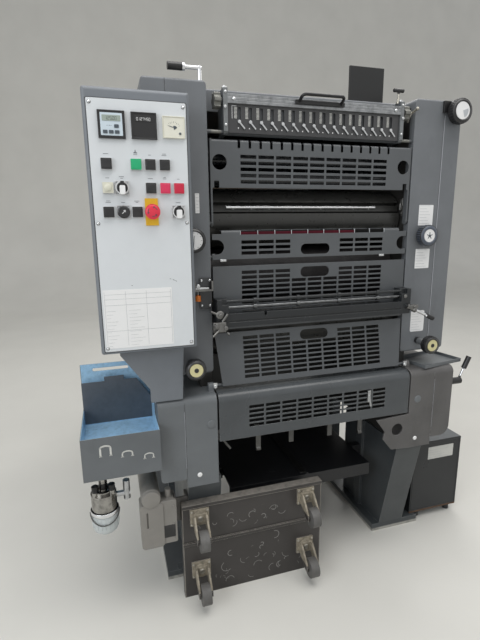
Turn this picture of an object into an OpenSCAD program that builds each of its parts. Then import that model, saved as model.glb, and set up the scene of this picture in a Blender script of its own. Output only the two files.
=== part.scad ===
// Small-format sheet-fed offset printing press, seen from its delivery end.
// X runs across the machine, Y along the sheet's travel from the delivery back to the feeder, Z up.
// Every size is in millimetres and every height is counted from the floor.

/* [Printing unit] */
// Clear width between the two side frames
gap_w = 668; // [640:2:700]
// Width of each tower beside the cylinders
tower_w = 174; // [150:2:200]
// Depth of the towers from front to back
tower_d = 700; // [660:10:800]
// Thickness of the cast side frames
frame_t = 36; // [28:1:45]
// Thickness of the towers' front covers
cover_t = 24; // [20:1:30]
// Radius of the towers' rounded top edges
tower_r = 14; // [6:1:20]
// Diameter of the plate, blanket and impression cylinders
cyl_d = 176; // [166:1:176]
// Distance from the tower fronts back to the plate cylinder's axis
plate_y = 128; // [124:1:136]
// Diameter of the cylinder journals
journal_d = 44; // [36:1:60]

/* [Guards] */
// Thickness of the guards' sheet metal
sheet_t = 2; // [1.5:0.25:3]
// Running gap between a guard and the side frames
guard_gap = 6; // [5:0.5:8]
// Height of the lower guard in front of the impression cylinder
lower_h = 154; // [146:1:160]
// Angle by which the lower guard leans back from its foot
lower_lean = 9.5; // [6:0.5:10]
// Height of the blanket guard
blanket_h = 190; // [186:1:196]
// Height of the plate guard with its rolled lip
mid_h = 84; // [80:1:92]
// Height of the open bay above the plate guard
bay_h = 118; // [108:1:126]
// Height of the notched guard in front of the ink rollers
upper_h = 130; // [124:1:140]
// Depth of the lips bent back from the guards' top edges
lip_d = 26; // [20:1:28]
// Diameter of the guards' pivot pins
pin_d = 10; // [8:0.5:12]
// Diameter of the round holes at the upper guard's ends
eye_d = 42; // [36:1:44]
// Depth of the flanges bent back along the guards' edges
flange_d = 12; // [8:1:16]

/* [Grilles] */
// Number of slot columns in a guard
grille_cols = 9; // [7:2:11]
// Width of the slotted field of a guard
grille_w = 486; // [460:2:500]
// Width of the bars between two columns
col_bar = 6; // [5:0.5:8]
// Height of one slot
slot_h = 10; // [8:0.5:10.5]
// Height from one slot to the next
slot_pitch = 15; // [14:0.5:15.5]
// Width of the hand slots in the guards
hand_w = 98; // [80:1:110]
// Height of the hand slots
hand_h = 32; // [28:1:32]

/* [Ink fountain] */
// Number of ink keys across the fountain
key_n = 16; // [12:1:18]
// Printing width that the ink keys share
ink_w = 520; // [480:5:530]
// Height of the fountain's front
fountain_h = 104; // [96:1:112]
// Depth of the ink trough behind the front
fountain_d = 56; // [44:1:58]
// Thickness of the fountain's end plates
end_t = 12; // [10:1:14]

/* [Delivery] */
// Height of the delivery cheeks' tops above the floor
cheek_top = 690; // [680:1:700]
// Height of the outer cheek covers
cheek_h = 257; // [240:1:270]
// Distance that the cheeks stand in front of the towers
cheek_fwd = 62; // [56:1:70]
// Depth of the cheeks behind the tower fronts
cheek_d = 320; // [280:5:360]
// Radius of the cheeks' rounded edges
cheek_r = 22; // [12:1:26]
// Radius of the right cheek's lower outer corner
corner_right = 36; // [20:1:40]
// Radius of the left cheek's lower outer corner
corner_left = 10; // [4:1:20]
// Height of the gap between a cheek and the tower above it
recess_h = 50; // [46:1:60]
// Height of the delivery hood's front
hood_h = 150; // [140:1:160]
// Radius of the hood's rounded top edge
hood_r = 26; // [18:1:30]
// Width of the delivery pile table
table_w = 540; // [500:5:560]
// Depth of the delivery pile table
table_d = 380; // [340:5:390]
// Height of the table's top as it stands
table_z = 300; // [290:1:320]
// Thickness of the table with its front beam
table_t = 46; // [40:1:55]

/* [Feet] */
// Thickness of the floor plates
foot_t = 30; // [25:1:35]
// Width of the floor plates
foot_w = 205; // [190:5:215]
// Width of each leg
leg_w = 105; // [95:1:112]
// Height at which the legs meet the frames
leg_top = 405; // [396:1:412]

/* [Console] */
// Width of the control console
console_w = 252; // [240:1:262]
// Height of the control console
console_h = 645; // [620:5:660]
// Depth of the control console
console_d = 62; // [56:1:70]
// Width of the white panel
panel_w = 232; // [224:1:234]
// Side of the square push buttons
button_w = 27; // [22:1:29]

/* [Tool tray and pump] */
// Width of the tool tray
tray_w = 212; // [190:1:230]
// Depth of the tool tray
tray_d = 230; // [200:5:240]
// Height of the tool tray's front
tray_h = 125; // [110:1:135]
// Height to which the tray's back plate rises above its front
tray_back = 140; // [120:1:150]
// Thickness of the tray's sheet metal
tray_t = 3; // [2.5:0.5:4]
// Height of the tray's floor above the lower edge of its walls
tray_floor = 75; // [60:1:90]
// Diameter of the filter's glass bowl
bowl_d = 70; // [56:1:74]
// Diameter of the pump's motor
motor_d = 58; // [52:1:62]

/* [Control cabinet] */
// Width of the cabinet beside the right leg
cabinet_w = 225; // [200:5:250]
// Depth of the cabinet
cabinet_d = 270; // [240:5:300]
// Height of the cabinet's top above the floor
cabinet_h = 335; // [320:5:350]

/* [Pile trolley] */
// Width of the pile trolley's board, which stands on edge
trolley_w = 477; // [450:1:490]
// Height of the board as it stands on edge
trolley_h = 332; // [310:1:340]
// Thickness of the board with its angle-iron frame
trolley_t = 26; // [22:1:30]
// Diameter of the caster wheels
wheel_d = 62; // [55:1:70]

/* [Feeder] */
// Length of the feeder frames behind the towers
feeder_l = 900; // [840:10:960]
// Height of the feeder frames
feeder_h = 760; // [730:5:790]
// Height of the beam over the feeder pile
beam_z = 1100; // [1080:5:1150]

/* [Hidden] */
$fn = 48;

// Gap between pieces that are seated on each other without being one solid
seat = 0.3;
// Running clearance of a pin or journal in its bore
run = 0.05;
half = gap_w / 2;
tower_out = half + tower_w;
guard_half = half - guard_gap;

// Heights of the guards, stacked from the delivery cheeks up
lower_z = cheek_top + 14;
blanket_z = lower_z + lower_h + 14;
mid_z = blanket_z + blanket_h + 20;
lip_z = mid_z + mid_h;
upper_z = lip_z + bay_h;
fountain_z = upper_z + upper_h + 12;
tower_top = fountain_z + fountain_h + 30;
tower_z = cheek_top + recess_h;
frame_top = tower_top - 25;

// Pivot axes of the swinging pieces, as [y, z]
pivot_y = 10;
lower_pivot = [-16, lower_z];
blanket_pivot = [pivot_y, blanket_z + 8];
mid_pivot = [pivot_y, mid_z + 8];
upper_pivot = [pivot_y, lip_z + 20];
fountain_pivot = [pivot_y, fountain_z + 8];
hood_pivot = [-30, cheek_top - 11];

// The three cylinders stand nearly above each other and run almost in contact
nip = 0.5;
cyl_step_y = 24;
cyl_step_z = sqrt(pow(cyl_d + nip, 2) - pow(cyl_step_y, 2));
plate_z = lip_z + 34;
cyl_axes = [[plate_y, plate_z], [plate_y + cyl_step_y, plate_z - cyl_step_z],
    [plate_y, plate_z - 2 * cyl_step_z]];
cyl_half = half - 8;

// Delivery
cheek_in = half + 6;
cheek_out = tower_out + 6;
cheek_z = cheek_top - cheek_h;
inner_cheek_z = leg_top;
leg_in = half - 9;
leg_out = leg_in + leg_w;
leg_toe = 47;
leg_brow = -28;
leg_brow_z = leg_top - 25;
// Front face of the legs at height z, sloping back from the brow to the toe
function leg_face(z) = leg_toe + (leg_brow - leg_toe) * (z - foot_t) / (leg_brow_z - foot_t);
foot_out = tower_out - 8;
foot_l = tower_d + feeder_l - leg_toe - 60;
table_y = leg_toe + 3;
rail_w = 40;
rail_t = 10;
rail_y = leg_toe + 130;

// Console, mounted in front of the left tower
console_x = -tower_out - 18;
// The console hangs in front of the dial on the left tower
console_y = -38;
console_z = cheek_top + 163;
panel_t = 3;
panel_z = console_z + 9;
panel_h = console_h - 36;
panel_y = console_y - console_d;
panel_face = panel_y - panel_t;

// Tool tray on the left cheek's outer face
tray_x = -cheek_out;
tray_y = -100;
tray_z = cheek_z + 67;

// Pile trolley in front of the left leg
trolley_x = -leg_out - 27;
trolley_y = leg_face(trolley_h) - seat - trolley_t;
caster_x = [55, trolley_w - 59];
caster_z = [99, trolley_h - 44];
caster_out = 66;
caster_drop = 40;
axle_d = 12;

// The machine's extents, from which the origin is taken
x_low = tray_x - tray_w;
x_high = leg_out + 45 + cabinet_w;
y_low = trolley_y - caster_out - wheel_d / 2;
y_high = tower_d + feeder_l;

module in_place() {
    translate([-(x_low + x_high) / 2, -(y_low + y_high) / 2, 0]) children();
}

// Extrudes an outline drawn in Y and Z along X, from x0 to x1
module along_x(x0, x1) {
    translate([x0, 0, 0]) rotate([90, 0, 90]) linear_extrude(x1 - x0) children();
}

// Extrudes an outline drawn in X and Z along Y, from y0 to y1
module along_y(y0, y1) {
    translate([0, y1, 0]) rotate([90, 0, 0]) linear_extrude(y1 - y0) children();
}

// Box from its low corner to its high corner
module block(low, high) {
    translate(low) cube(high - low);
}

// Rod along X
module rod_x(x0, x1, y, z, d) {
    translate([x0, y, z]) rotate([0, 90, 0]) cylinder(d = d, h = x1 - x0);
}

// Rod along Y
module rod_y(x, y0, y1, z, d) {
    translate([x, y1, z]) rotate([90, 0, 0]) cylinder(d = d, h = y1 - y0);
}

// Upright rod
module rod_z(x, y, z0, z1, d) {
    translate([x, y, z0]) cylinder(d = d, h = z1 - z0);
}

// Rectangle from [x, y] with all four corners rounded
module round_rect(x, y, w, h, r) {
    translate([x + r, y]) square([w - 2 * r, h]);
    translate([x, y + r]) square([w, h - 2 * r]);
    for (cx = [x + r, x + w - r], cy = [y + r, y + h - r]) translate([cx, cy]) circle(r);
}

// Copies a piece to both sides of the machine
module both_sides() {
    children();
    mirror([1, 0, 0]) children();
}

// Slotted field of a guard, from its top edge down; the three inner columns begin some rows lower
module grille_slots(top_z, rows, inner_from, pitch_z) {
    pitch = grille_w / grille_cols;
    inner_low = (grille_cols - 3) / 2;
    for (c = [0 : grille_cols - 1], r = [0 : rows - 1]) {
        inner = c >= inner_low && c < inner_low + 3;
        if (!inner || r >= inner_from)
            translate([(c - grille_cols / 2) * pitch + col_bar / 2, top_z - r * pitch_z - slot_h])
                square([pitch - col_bar, slot_h]);
    }
}

// Quarter of a tube bent round a corner in the plane of X and Z, from straight up to straight along X
module elbow(r, d) {
    rotate([90, 0, 0]) intersection() {
        rotate_extrude() translate([r, 0]) circle(d = d);
        translate([0, 0, -d]) cube([r + d, r + d, 2 * d]);
    }
}

// Flanges bent back along both sides of a guard's sheet
module side_flanges(z0, z1) {
    both_sides() block([guard_half - sheet_t, 0, z0], [guard_half, flange_d, z1]);
}

module hand_slot(z) {
    round_rect(-hand_w / 2, z, hand_w, hand_h, hand_h / 2 - 1);
}

// Pins at both ends of a swinging piece, from its own half width out into the wall
module pivot_pins(pivot, from, to, d) {
    both_sides() rod_x(from, to, pivot[0], pivot[1], d);
}

// Lugs that carry the pivot pins of a guard behind its sheet
module pivot_lugs(pivot, out) {
    lug = pin_d + 8;
    both_sides() along_x(out - 8, out) {
        translate(pivot) circle(d = lug);
        translate([sheet_t - 0.5, pivot[1] - lug / 2]) square([pivot[0] - sheet_t + 0.5, lug]);
    }
}

module base_feet() {
    color("dimgray") both_sides() {
        block([foot_out - foot_w, leg_toe, 0], [foot_out, leg_toe + foot_l, foot_t]);
        // Front leg, its face sloping back to the floor plate
        along_x(leg_in, leg_out) polygon([[leg_toe, foot_t], [cheek_d, foot_t], [cheek_d, leg_top],
            [leg_brow, leg_top], [leg_brow, leg_brow_z]]);
        block([leg_in, tower_d - 150, foot_t], [leg_out, tower_d, leg_top]);
        block([leg_in - rail_t, rail_y, foot_t], [leg_in, rail_y + rail_w, leg_top]);
        block([leg_in, tower_d + feeder_l - 180, foot_t], [leg_out, tower_d + feeder_l - 120, 120]);
    }
}

// Side frame with the journal bores
module side_frame() {
    along_x(half, half + frame_t) difference() {
        round_rect(cover_t, leg_top, tower_d - cover_t, frame_top - leg_top, 20);
        for (a = cyl_axes) translate(a) circle(d = journal_d + 2 * run);
    }
}

module side_frames() {
    color("dimgray") both_sides() side_frame();
}

module cross_members() {
    tie_d = 40;
    back_plate_y = 450;
    color("#26282a") {
        block([-half, back_plate_y, foot_t + 70], [half, back_plate_y + 6, tower_z + 25]);
        for (z = [leg_top + tie_d, tower_z + tie_d / 2]) rod_x(-half, half, back_plate_y + 70, z, tie_d);
        rod_x(-half, half, back_plate_y - 30, frame_top - 95, tie_d);
    }
}

// Cover of one tower, closed outside the frame and in front of it, with a seam and pin bores
module tower_body() {
    difference() {
        intersection() {
            along_y(0, tower_d) round_rect(half, tower_z, tower_w, tower_top - tower_z, tower_r);
            along_x(half, tower_out) round_rect(0, tower_z, tower_d, tower_top - tower_z, tower_r / 2);
        }
        block([half - 1, cover_t - seat, tower_z - 1], [half + frame_t + seat, tower_d + 1, frame_top + seat]);
        along_y(-1, 2) translate([half + 0.63 * tower_w, tower_z - 1]) square([2, tower_top]);
        for (p = [blanket_pivot, mid_pivot, upper_pivot, fountain_pivot])
            rod_x(half - 1, half + 13, p[0], p[1], pin_d + 2 * run);
    }
}

// Black block beside the upper dial, as its two sides in X
dial_block = [434, 460];
module tower_right() {
    color("#4a4e52") {
        tower_body();
        block([dial_block[0], -8, tower_top - 38], [dial_block[1], 1, tower_top - 4]);
    }
}

module tower_left() {
    color("#4a4e52") mirror([1, 0, 0]) tower_body();
}

module top_cover() {
    color("#54585c") along_x(-half, half) {
        translate([70, tower_top - 60]) square([3, 54]);
        translate([76, tower_top - 3]) square([tower_d - 76, 3]);
        translate([76, tower_top - 6]) intersection() {
            difference() {
                circle(6);
                circle(3);
            }
            translate([-6, 0]) square(6);
        }
    }
}

module upright_plate() {
    color("#1c1c1e") {
        block([142, 76, tower_top], [264, 82, tower_top + 100]);
        block([142, 76, tower_top], [264, 130, tower_top + 4]);
    }
}

module rear_cover() {
    color("#54585c") along_y(tower_d - 8, tower_d - 5) difference() {
        translate([-half, mid_z - 60]) square([gap_w, tower_top - mid_z + 57]);
        grille_slots(upper_z, 9, 0, slot_pitch);
    }
}

// Side profile of a cheek: flat front, rounded top front edge
module cheek_profile(low) {
    difference() {
        translate([-cheek_fwd, low]) square([cheek_fwd + cheek_d, cheek_top - low]);
        translate([-cheek_fwd, cheek_top - cheek_r]) difference() {
            translate([-1, 0]) square(cheek_r + 1);
            translate([cheek_r, 0]) circle(cheek_r);
        }
    }
}

module cheek_body(corner_r) {
    seam = cheek_in + 0.55 * (cheek_out - cheek_in);
    bearing_w = 16;
    bearing_d = pin_d + 12;
    difference() {
        union() {
            along_x(seam, cheek_out) cheek_profile(cheek_z);
            along_x(cheek_in, seam) cheek_profile(inner_cheek_z);
            // Bearing of the lower guard's pin
            along_x(cheek_in, cheek_in + bearing_w) {
                translate([lower_pivot[0] - bearing_d / 2, cheek_top - 1])
                    square([bearing_d, lower_pivot[1] - cheek_top + 1]);
                translate(lower_pivot) circle(d = bearing_d);
            }
        }
        // Room for the side frame and the tower's front cover
        block([cheek_in - 1, cover_t - seat, leg_top - 1], [half + frame_t + seat, cheek_d + 1, cheek_top + 1]);
        along_y(-cheek_fwd - 1, 1.5 - cheek_fwd) translate([seam, cheek_z - 1]) square([2, cheek_h + 2]);
        rod_x(cheek_in - 1, cheek_in + 13, hood_pivot[0], hood_pivot[1], pin_d + 2 * run);
        rod_x(cheek_in - 1, cheek_in + bearing_w + 1, lower_pivot[0], lower_pivot[1], pin_d + 2 * run);
        // Rounded lower outer corner
        along_y(-cheek_fwd - 1, cheek_d + 1) translate([cheek_out - corner_r, cheek_z]) difference() {
            translate([0, -1]) square(corner_r + 1);
            translate([0, corner_r]) circle(corner_r);
        }
    }
}

// The right cheek carries a bracket plate that reaches in under the hood
wing_t = 6;
wing_x = 213;
module cheek_right() {
    color("#50545a") {
        cheek_body(corner_right);
        along_y(-cheek_fwd, wing_t - cheek_fwd) difference() {
            polygon([[cheek_in + 1, cheek_top - 156], [wing_x, cheek_top - 163], [wing_x + 35, cheek_top - 210],
                [wing_x + 29, cheek_top - 237], [wing_x + 64, cheek_top - 280], [cheek_in + 1, inner_cheek_z]]);
            translate([wing_x + 84, cheek_top - 208]) circle(d = 44);
        }
    }
}

module cheek_left() {
    color("#50545a") mirror([1, 0, 0]) cheek_body(corner_left);
}

stop_x = [-207, -95, 42, 155];
module sheet_stops() {
    bar_y = -40;
    bar_up = cheek_top - 138;
    color("silver") {
        rod_x(-cheek_in, cheek_in, bar_y, bar_up, 12);
        for (x = stop_x) {
            difference() {
                block([x - 8, bar_y - 10, bar_up - 57], [x + 8, bar_y + 8, bar_up + 12]);
                block([x - 9, bar_y - 4, bar_up - 58], [x + 9, bar_y + 9, bar_up - 12]);
            }
        }
        for (x = [stop_x[0], stop_x[3]]) rod_x(x - 7, x + 7, bar_y - 7, bar_up - 62, 14);
        // Small hand lever at the left end of the bar
        translate([-cheek_in + 8, bar_y, bar_up]) rotate([0, 145, 0]) cylinder(d = 9, h = 62);
        translate([-cheek_in + 3, bar_y - 12, bar_up - 12]) cube([16, 22, 24]);
    }
}

module delivery_table() {
    top_t = 12;
    beam_d = 30;
    rib_x = 10;
    color("#1f2022") {
        block([-table_w / 2, table_y, table_z - table_t], [table_w / 2, table_y + beam_d, table_z]);
        block([-table_w / 2, table_y + beam_d, table_z - top_t], [table_w / 2, table_y + table_d, table_z]);
        block([rib_x, table_y, table_z - 1], [rib_x + 8, table_y + table_d, table_z + 6]);
        // Rear beam and the stiffeners under the top
        block([-table_w / 2, table_y + table_d - beam_d, table_z - table_t],
            [table_w / 2, table_y + table_d, table_z - top_t + 1]);
        both_sides() block([table_w / 4, table_y + beam_d - 1, table_z - table_t + 6],
            [table_w / 4 + 8, table_y + table_d - beam_d + 1, table_z - top_t + 1]);
        // Lugs that run on the rails inside the legs
        both_sides() block([table_w / 2 - 1, rail_y + 5, table_z - table_t + 6],
            [leg_in - rail_t - seat, rail_y + rail_w - 5, table_z]);
    }
}

latch_x = 175;
module delivery_hood() {
    hood_half = cheek_in - guard_gap;
    color("#5a5e64") {
        difference() {
            along_x(-hood_half, hood_half) {
                translate([hood_r - cheek_fwd, cheek_top - sheet_t]) square([cheek_fwd - hood_r + 6, sheet_t]);
                translate([-cheek_fwd, cheek_top - hood_h]) square([sheet_t, hood_h - hood_r]);
                translate([hood_r - cheek_fwd, cheek_top - hood_r]) intersection() {
                    difference() {
                        circle(hood_r);
                        circle(hood_r - sheet_t);
                    }
                    translate([-hood_r, 0]) square(hood_r);
                }
            }
            along_y(-cheek_fwd - 1, 0) grille_slots(cheek_top - 46, 5, 0, slot_pitch);
        }
        both_sides() along_x(hood_half - 8, hood_half) {
            translate(hood_pivot) circle(d = pin_d + 8);
            translate([hood_pivot[0] - pin_d / 2 - 4, hood_pivot[1]]) square([pin_d + 8, 10]);
        }
        pivot_pins(hood_pivot, hood_half - 4, cheek_in + 10, pin_d);
        // Latch with its slanted handle
        block([latch_x - 5, -cheek_fwd - 6, cheek_top - 88], [latch_x + 5, -cheek_fwd + 1, cheek_top - 48]);
        translate([latch_x, -cheek_fwd - 5, cheek_top - 62]) rotate([0, 170, 0]) cylinder(d = 7, h = 42);
    }
}

// Everything of the lower guard is drawn upright round its pin, and then leans back
module lower_guard() {
    face_y = -10;
    foot = -4;
    top = lower_h + 4;
    foot_half = guard_half - 16;
    color("#46494d") translate([0, lower_pivot[0], lower_pivot[1]]) rotate([-lower_lean, 0, 0]) {
        along_y(face_y, face_y + sheet_t) difference() {
            polygon([[-foot_half, foot], [foot_half, foot], [guard_half, top], [-guard_half, top]]);
            grille_slots(top - 15, 9, 2, slot_pitch);
            hand_slot(top - 42);
        }
        block([-guard_half + 2, face_y, top - sheet_t], [guard_half - 2, face_y + flange_d, top]);
        both_sides() along_x(foot_half - 8, foot_half) {
            circle(d = pin_d + 6);
            translate([face_y + sheet_t - 0.5, foot]) square([sheet_t - face_y - 1, 16]);
        }
        both_sides() rod_x(foot_half - 4, cheek_in + 14, 0, 0, pin_d);
    }
}

module blanket_guard() {
    color("#46494d") {
        along_y(0, sheet_t) difference() {
            translate([-guard_half, blanket_z]) square([2 * guard_half, blanket_h]);
            grille_slots(blanket_z + blanket_h - 15, 9, 2, slot_pitch);
            hand_slot(blanket_z + blanket_h - 42);
        }
        side_flanges(blanket_z + 24, blanket_z + blanket_h);
        block([-guard_half, 0, blanket_z + blanket_h - sheet_t],
            [guard_half, flange_d, blanket_z + blanket_h]);
        pivot_lugs(blanket_pivot, guard_half);
        pivot_pins(blanket_pivot, guard_half - 4, half + 10, pin_d);
    }
}

bar_z = blanket_z + 16;
module imprint_bar() {
    bar_h = 40;
    bar_half = guard_half - 30;
    bar_front = -45;
    rod_y0 = bar_front + 15;
    color("#5c6064") {
        difference() {
            block([-bar_half, bar_front, bar_z], [bar_half, bar_front + 25, bar_z + bar_h]);
            block([-bar_half - 1, bar_front - 1, bar_z + 14], [bar_half + 1, bar_front + 3, bar_z + 20]);
            block([-184, bar_front - 1, bar_z + bar_h - 12], [-176, bar_front + 26, bar_z + bar_h + 1]);
        }
        for (z = [bar_h + 16, bar_h + 34]) {
            rod_x(-bar_half, bar_half, rod_y0, bar_z + z, 10);
            for (x = [-210, -70, 70, 210]) rod_x(x - 5, x + 5, rod_y0, bar_z + z, 16);
        }
        both_sides() difference() {
            block([guard_half - 34, bar_front, bar_z], [guard_half, 0, bar_z + 82]);
            block([guard_half - 35, bar_front - 1, bar_z + 66], [guard_half - 14, bar_front + 12, bar_z + 83]);
        }
        // Arm that reaches out in front of the right tower, with its grip
        translate([guard_half - 20, bar_front - 3, bar_z + 28]) rotate([0, 115, 0]) cylinder(d = 10, h = 92);
        translate([guard_half - 20, bar_front - 3, bar_z + 28]) rotate([0, 115, 0])
            translate([0, 0, 90]) cylinder(d = 15, h = 34);
    }
}

module plate_guard() {
    eye_z = mid_z + 36;
    color("#4a4d51") {
        difference() {
            along_y(0, sheet_t) difference() {
                translate([-guard_half, mid_z]) square([2 * guard_half, mid_h - 11]);
                both_sides() {
                    translate([guard_half - 14, eye_z]) circle(d = eye_d);
                    translate([guard_half - 14, eye_z - eye_d / 2]) square(eye_d);
                }
                hand_slot(mid_z + 8);
                grille_slots(mid_z + 54, 3, 3, slot_pitch + 1);
            }
        }
        block([-guard_half + 34, 0, mid_z], [guard_half - 34, flange_d, mid_z + sheet_t]);
        difference() {
            along_x(-guard_half + 28, guard_half - 28) {
                translate([0, lip_z - 11.5]) square([sheet_t, 3]);
                translate([9, lip_z - 9]) intersection() {
                    difference() {
                        circle(9);
                        circle(9 - sheet_t);
                    }
                    translate([-9, 0]) square(9);
                }
                translate([9, lip_z - sheet_t]) square([lip_d - 9, sheet_t]);
            }
            for (c = [0 : grille_cols - 1])
                block([-grille_w / 2 + c * grille_w / grille_cols + 3, 3, lip_z - 6],
                    [-grille_w / 2 + (c + 1) * grille_w / grille_cols - 3, 14, lip_z + 1]);
        }
        pivot_lugs(mid_pivot, guard_half);
        pivot_pins(mid_pivot, guard_half - 4, half + 10, pin_d);
    }
}

key_pitch = ink_w / key_n;
module upper_guard() {
    top = upper_z + upper_h;
    arm_low = upper_pivot[1] - 9;
    color("#46494d") {
        difference() {
            union() {
                along_y(0, sheet_t) difference() {
                    translate([-guard_half, upper_z]) square([2 * guard_half, upper_h - 8]);
                    grille_slots(upper_z + 90, 5, 0, slot_pitch + 2);
                    both_sides() {
                        translate([guard_half - 27, upper_z + 69]) circle(d = eye_d);
                        translate([guard_half - 25, upper_z - 1]) square([15, 20]);
                    }
                }
                along_x(-guard_half, guard_half) {
                    translate([8, top - 8]) intersection() {
                        difference() {
                            circle(8);
                            circle(8 - sheet_t);
                        }
                        translate([-8, 0]) square(8);
                    }
                    translate([8, top - sheet_t]) square([lip_d - 8, sheet_t]);
                }
            }
            for (i = [0 : key_n - 1])
                translate([(i - (key_n - 1) / 2) * key_pitch - 4, -1, top - 23]) cube([8, lip_d + 2, 24]);
        }
        // Flange along the lower edge, left off where the arms pass
        block([-guard_half + 25, 0, upper_z], [guard_half - 25, flange_d, upper_z + sheet_t]);
        // Side arms down to the pivots
        both_sides() along_x(guard_half - 5, guard_half) {
            translate([0, arm_low + 9]) square([18, top - 9 - arm_low]);
            translate(upper_pivot) circle(d = pin_d + 8);
        }
        pivot_pins(upper_pivot, guard_half - 4, half + 10, pin_d);
    }
}

fountain_half = ink_w / 2 + 16;
// Back face of the key plate, and the rail along its top
plate_back = 7;
rail_h = 24;
// Slot of one key: its low corner from the key's middle and the fountain's foot, its width and its height
key_slot = [-2, 38];
key_slot_w = 9;
key_slot_h = 34;
module key_place(i) {
    translate([(i - (key_n - 1) / 2) * key_pitch, 0, fountain_z]) children();
}

module ink_fountain() {
    top = fountain_z + fountain_h;
    knob_d = 44;
    color("#3c3f42") {
        difference() {
            along_x(-fountain_half - 1, fountain_half + 1) polygon([[plate_back, fountain_z + 6],
                [plate_back + 8, fountain_z], [fountain_d, fountain_z + 40], [fountain_d, top],
                [plate_back, top]]);
            along_x(-fountain_half + 4, fountain_half - 4) polygon([[18, top + 1], [18, fountain_z + 22],
                [fountain_d - 6, fountain_z + 54], [fountain_d - 6, top + 1]]);
        }
        both_sides() {
            along_x(fountain_half, fountain_half + end_t) polygon([[-6, fountain_z + 8], [4, fountain_z],
                [fountain_d, fountain_z], [fountain_d, top + 6], [fountain_d - 12, top + 14], [-6, top + 14]]);
            rod_x(fountain_half, half + 10, fountain_pivot[0], fountain_pivot[1], pin_d);
            // Star knob on its spindle
            rod_x(fountain_half + end_t - 1, fountain_half + end_t + 8, 14, top - 16, 18);
            along_x(fountain_half + end_t + 6, fountain_half + end_t + 24) translate([14, top - 16])
                difference() {
                    circle(d = knob_d);
                    for (a = [30 : 60 : 359]) rotate(a) translate([knob_d / 2 + 3, 0]) circle(d = 16);
                }
        }
    }
}

// Front plate of the fountain with a slot for each key, the rail above it and the bow handle
module key_plate() {
    top = fountain_z + fountain_h;
    bow_half = 66;
    bow_r = 12;
    bow_d = 9;
    bow_rise = 30;
    color("#55585c") {
        difference() {
            block([-fountain_half + seat, 0, fountain_z + 5],
                [fountain_half - seat, plate_back - seat, top - rail_h + 1]);
            for (i = [0 : key_n - 1]) key_place(i)
                translate([key_slot[0], -1, key_slot[1]]) cube([key_slot_w, plate_back + 2, key_slot_h]);
        }
        difference() {
            block([-fountain_half + seat, -6, top - rail_h], [fountain_half - seat, plate_back - seat, top]);
            for (z = [7, 15]) block([-fountain_half, -7, top - z - 1], [fountain_half, -5, top - z]);
        }
        block([-bow_half - 12, -13, top - 15], [bow_half + 12, -5, top - 5]);
        translate([0, -9, top - 10]) rotate([60, 0, 0]) {
            both_sides() {
                translate([bow_half, 0, 0]) cylinder(d = bow_d, h = bow_rise - bow_r);
                translate([bow_half - bow_r, 0, bow_rise - bow_r]) elbow(bow_r, bow_d);
            }
            rod_x(-bow_half + bow_r, bow_half - bow_r, 0, bow_rise, bow_d);
        }
    }
}

// Each key's lever slants down from its slot, on a screw head that turns it
module ink_keys() {
    color("silver") for (i = [0 : key_n - 1]) key_place(i) {
        translate([key_slot[0] + 3, -4, key_slot[1] - 4]) rotate([0, 138, 0])
            translate([-2, 0, 0]) cube([4, 3, 24]);
        translate([key_slot[0] + 3, -seat, key_slot[1] - 4]) rotate([90, 0, 0]) cylinder(d = 9, h = 5);
    }
}

// Each roller's place from the plate cylinder's axis in Y and Z, and its diameter
rollers = [[-30, 124, 52], [44, 122, 52], [6, 178, 62], [-48, 178, 44], [66, 190, 56]];
module ink_rollers() {
    color("#303236") for (r = rollers) rod_x(-half, half, plate_y + r[0], plate_z + r[1], r[2]);
}

// One printing cylinder with its journals; the gap with the clamp bar is turned up by an angle
module press_cylinder(i, gap_at) {
    a = cyl_axes[i];
    gap_deep = 20;
    bar_deep = 8;
    translate([0, a[0], a[1]]) rotate([-gap_at, 0, 0]) {
        difference() {
            rod_x(-cyl_half, cyl_half, 0, 0, cyl_d);
            block([-cyl_half - 1, -cyl_d / 2 - 1, -18], [cyl_half + 1, gap_deep - cyl_d / 2, 18]);
        }
        block([-cyl_half, bar_deep - cyl_d / 2, -10], [cyl_half, gap_deep + 1 - cyl_d / 2, 10]);
        rod_x(-half - frame_t, -cyl_half + 1, 0, 0, journal_d);
        rod_x(cyl_half - 1, half + frame_t, 0, 0, journal_d);
    }
}

module plate_cylinder() {
    color("#8a8d90") press_cylinder(0, 21);
}

module blanket_cylinder() {
    color("#6a4a4a") press_cylinder(1, 180);
}

module impression_cylinder() {
    color("#9a9da0") press_cylinder(2, 180);
}

module console_box() {
    edge_r = 9;
    color("#6b7076") {
        difference() {
            intersection() {
                along_y(console_y - console_d, console_y)
                    round_rect(console_x - console_w / 2, console_z, console_w, console_h, edge_r);
                along_x(console_x - console_w / 2, console_x + console_w / 2)
                    round_rect(console_y - console_d, console_z, console_d, console_h, edge_r);
                translate([0, 0, console_z]) linear_extrude(console_h)
                    round_rect(console_x - console_w / 2, console_y - console_d, console_w, console_d, edge_r);
            }
            block([console_x - panel_w / 2 - 1, panel_y - 1, panel_z - 1],
                [console_x + panel_w / 2 + 1, panel_y + 0.7, panel_z + panel_h + 1]);
        }
        // Bracket down to the cheek
        along_y(-cheek_fwd + 2, console_y) polygon([[console_x - 80, console_z + 10],
            [console_x - 80, console_z - 16], [-cheek_out - 16, cheek_top + 39],
            [-cheek_out - 16, cheek_top + seat], [-cheek_in - 100, cheek_top + seat],
            [-cheek_in - 91, console_z + 10]]);
    }
}

// The emergency stop's stem runs through its plate and the panel; the place is counted as on_panel's
stop_at = [21, panel_h - 257];
stem_d = 22;
module stop_bore() {
    translate([console_x + stop_at[0], panel_z + stop_at[1]]) circle(d = stem_d + 2 * run);
}

module console_panel() {
    color("white") along_y(panel_face, panel_y + 0.7 - seat) difference() {
        round_rect(console_x - panel_w / 2, panel_z, panel_w, panel_h, 3);
        stop_bore();
    }
}

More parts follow.
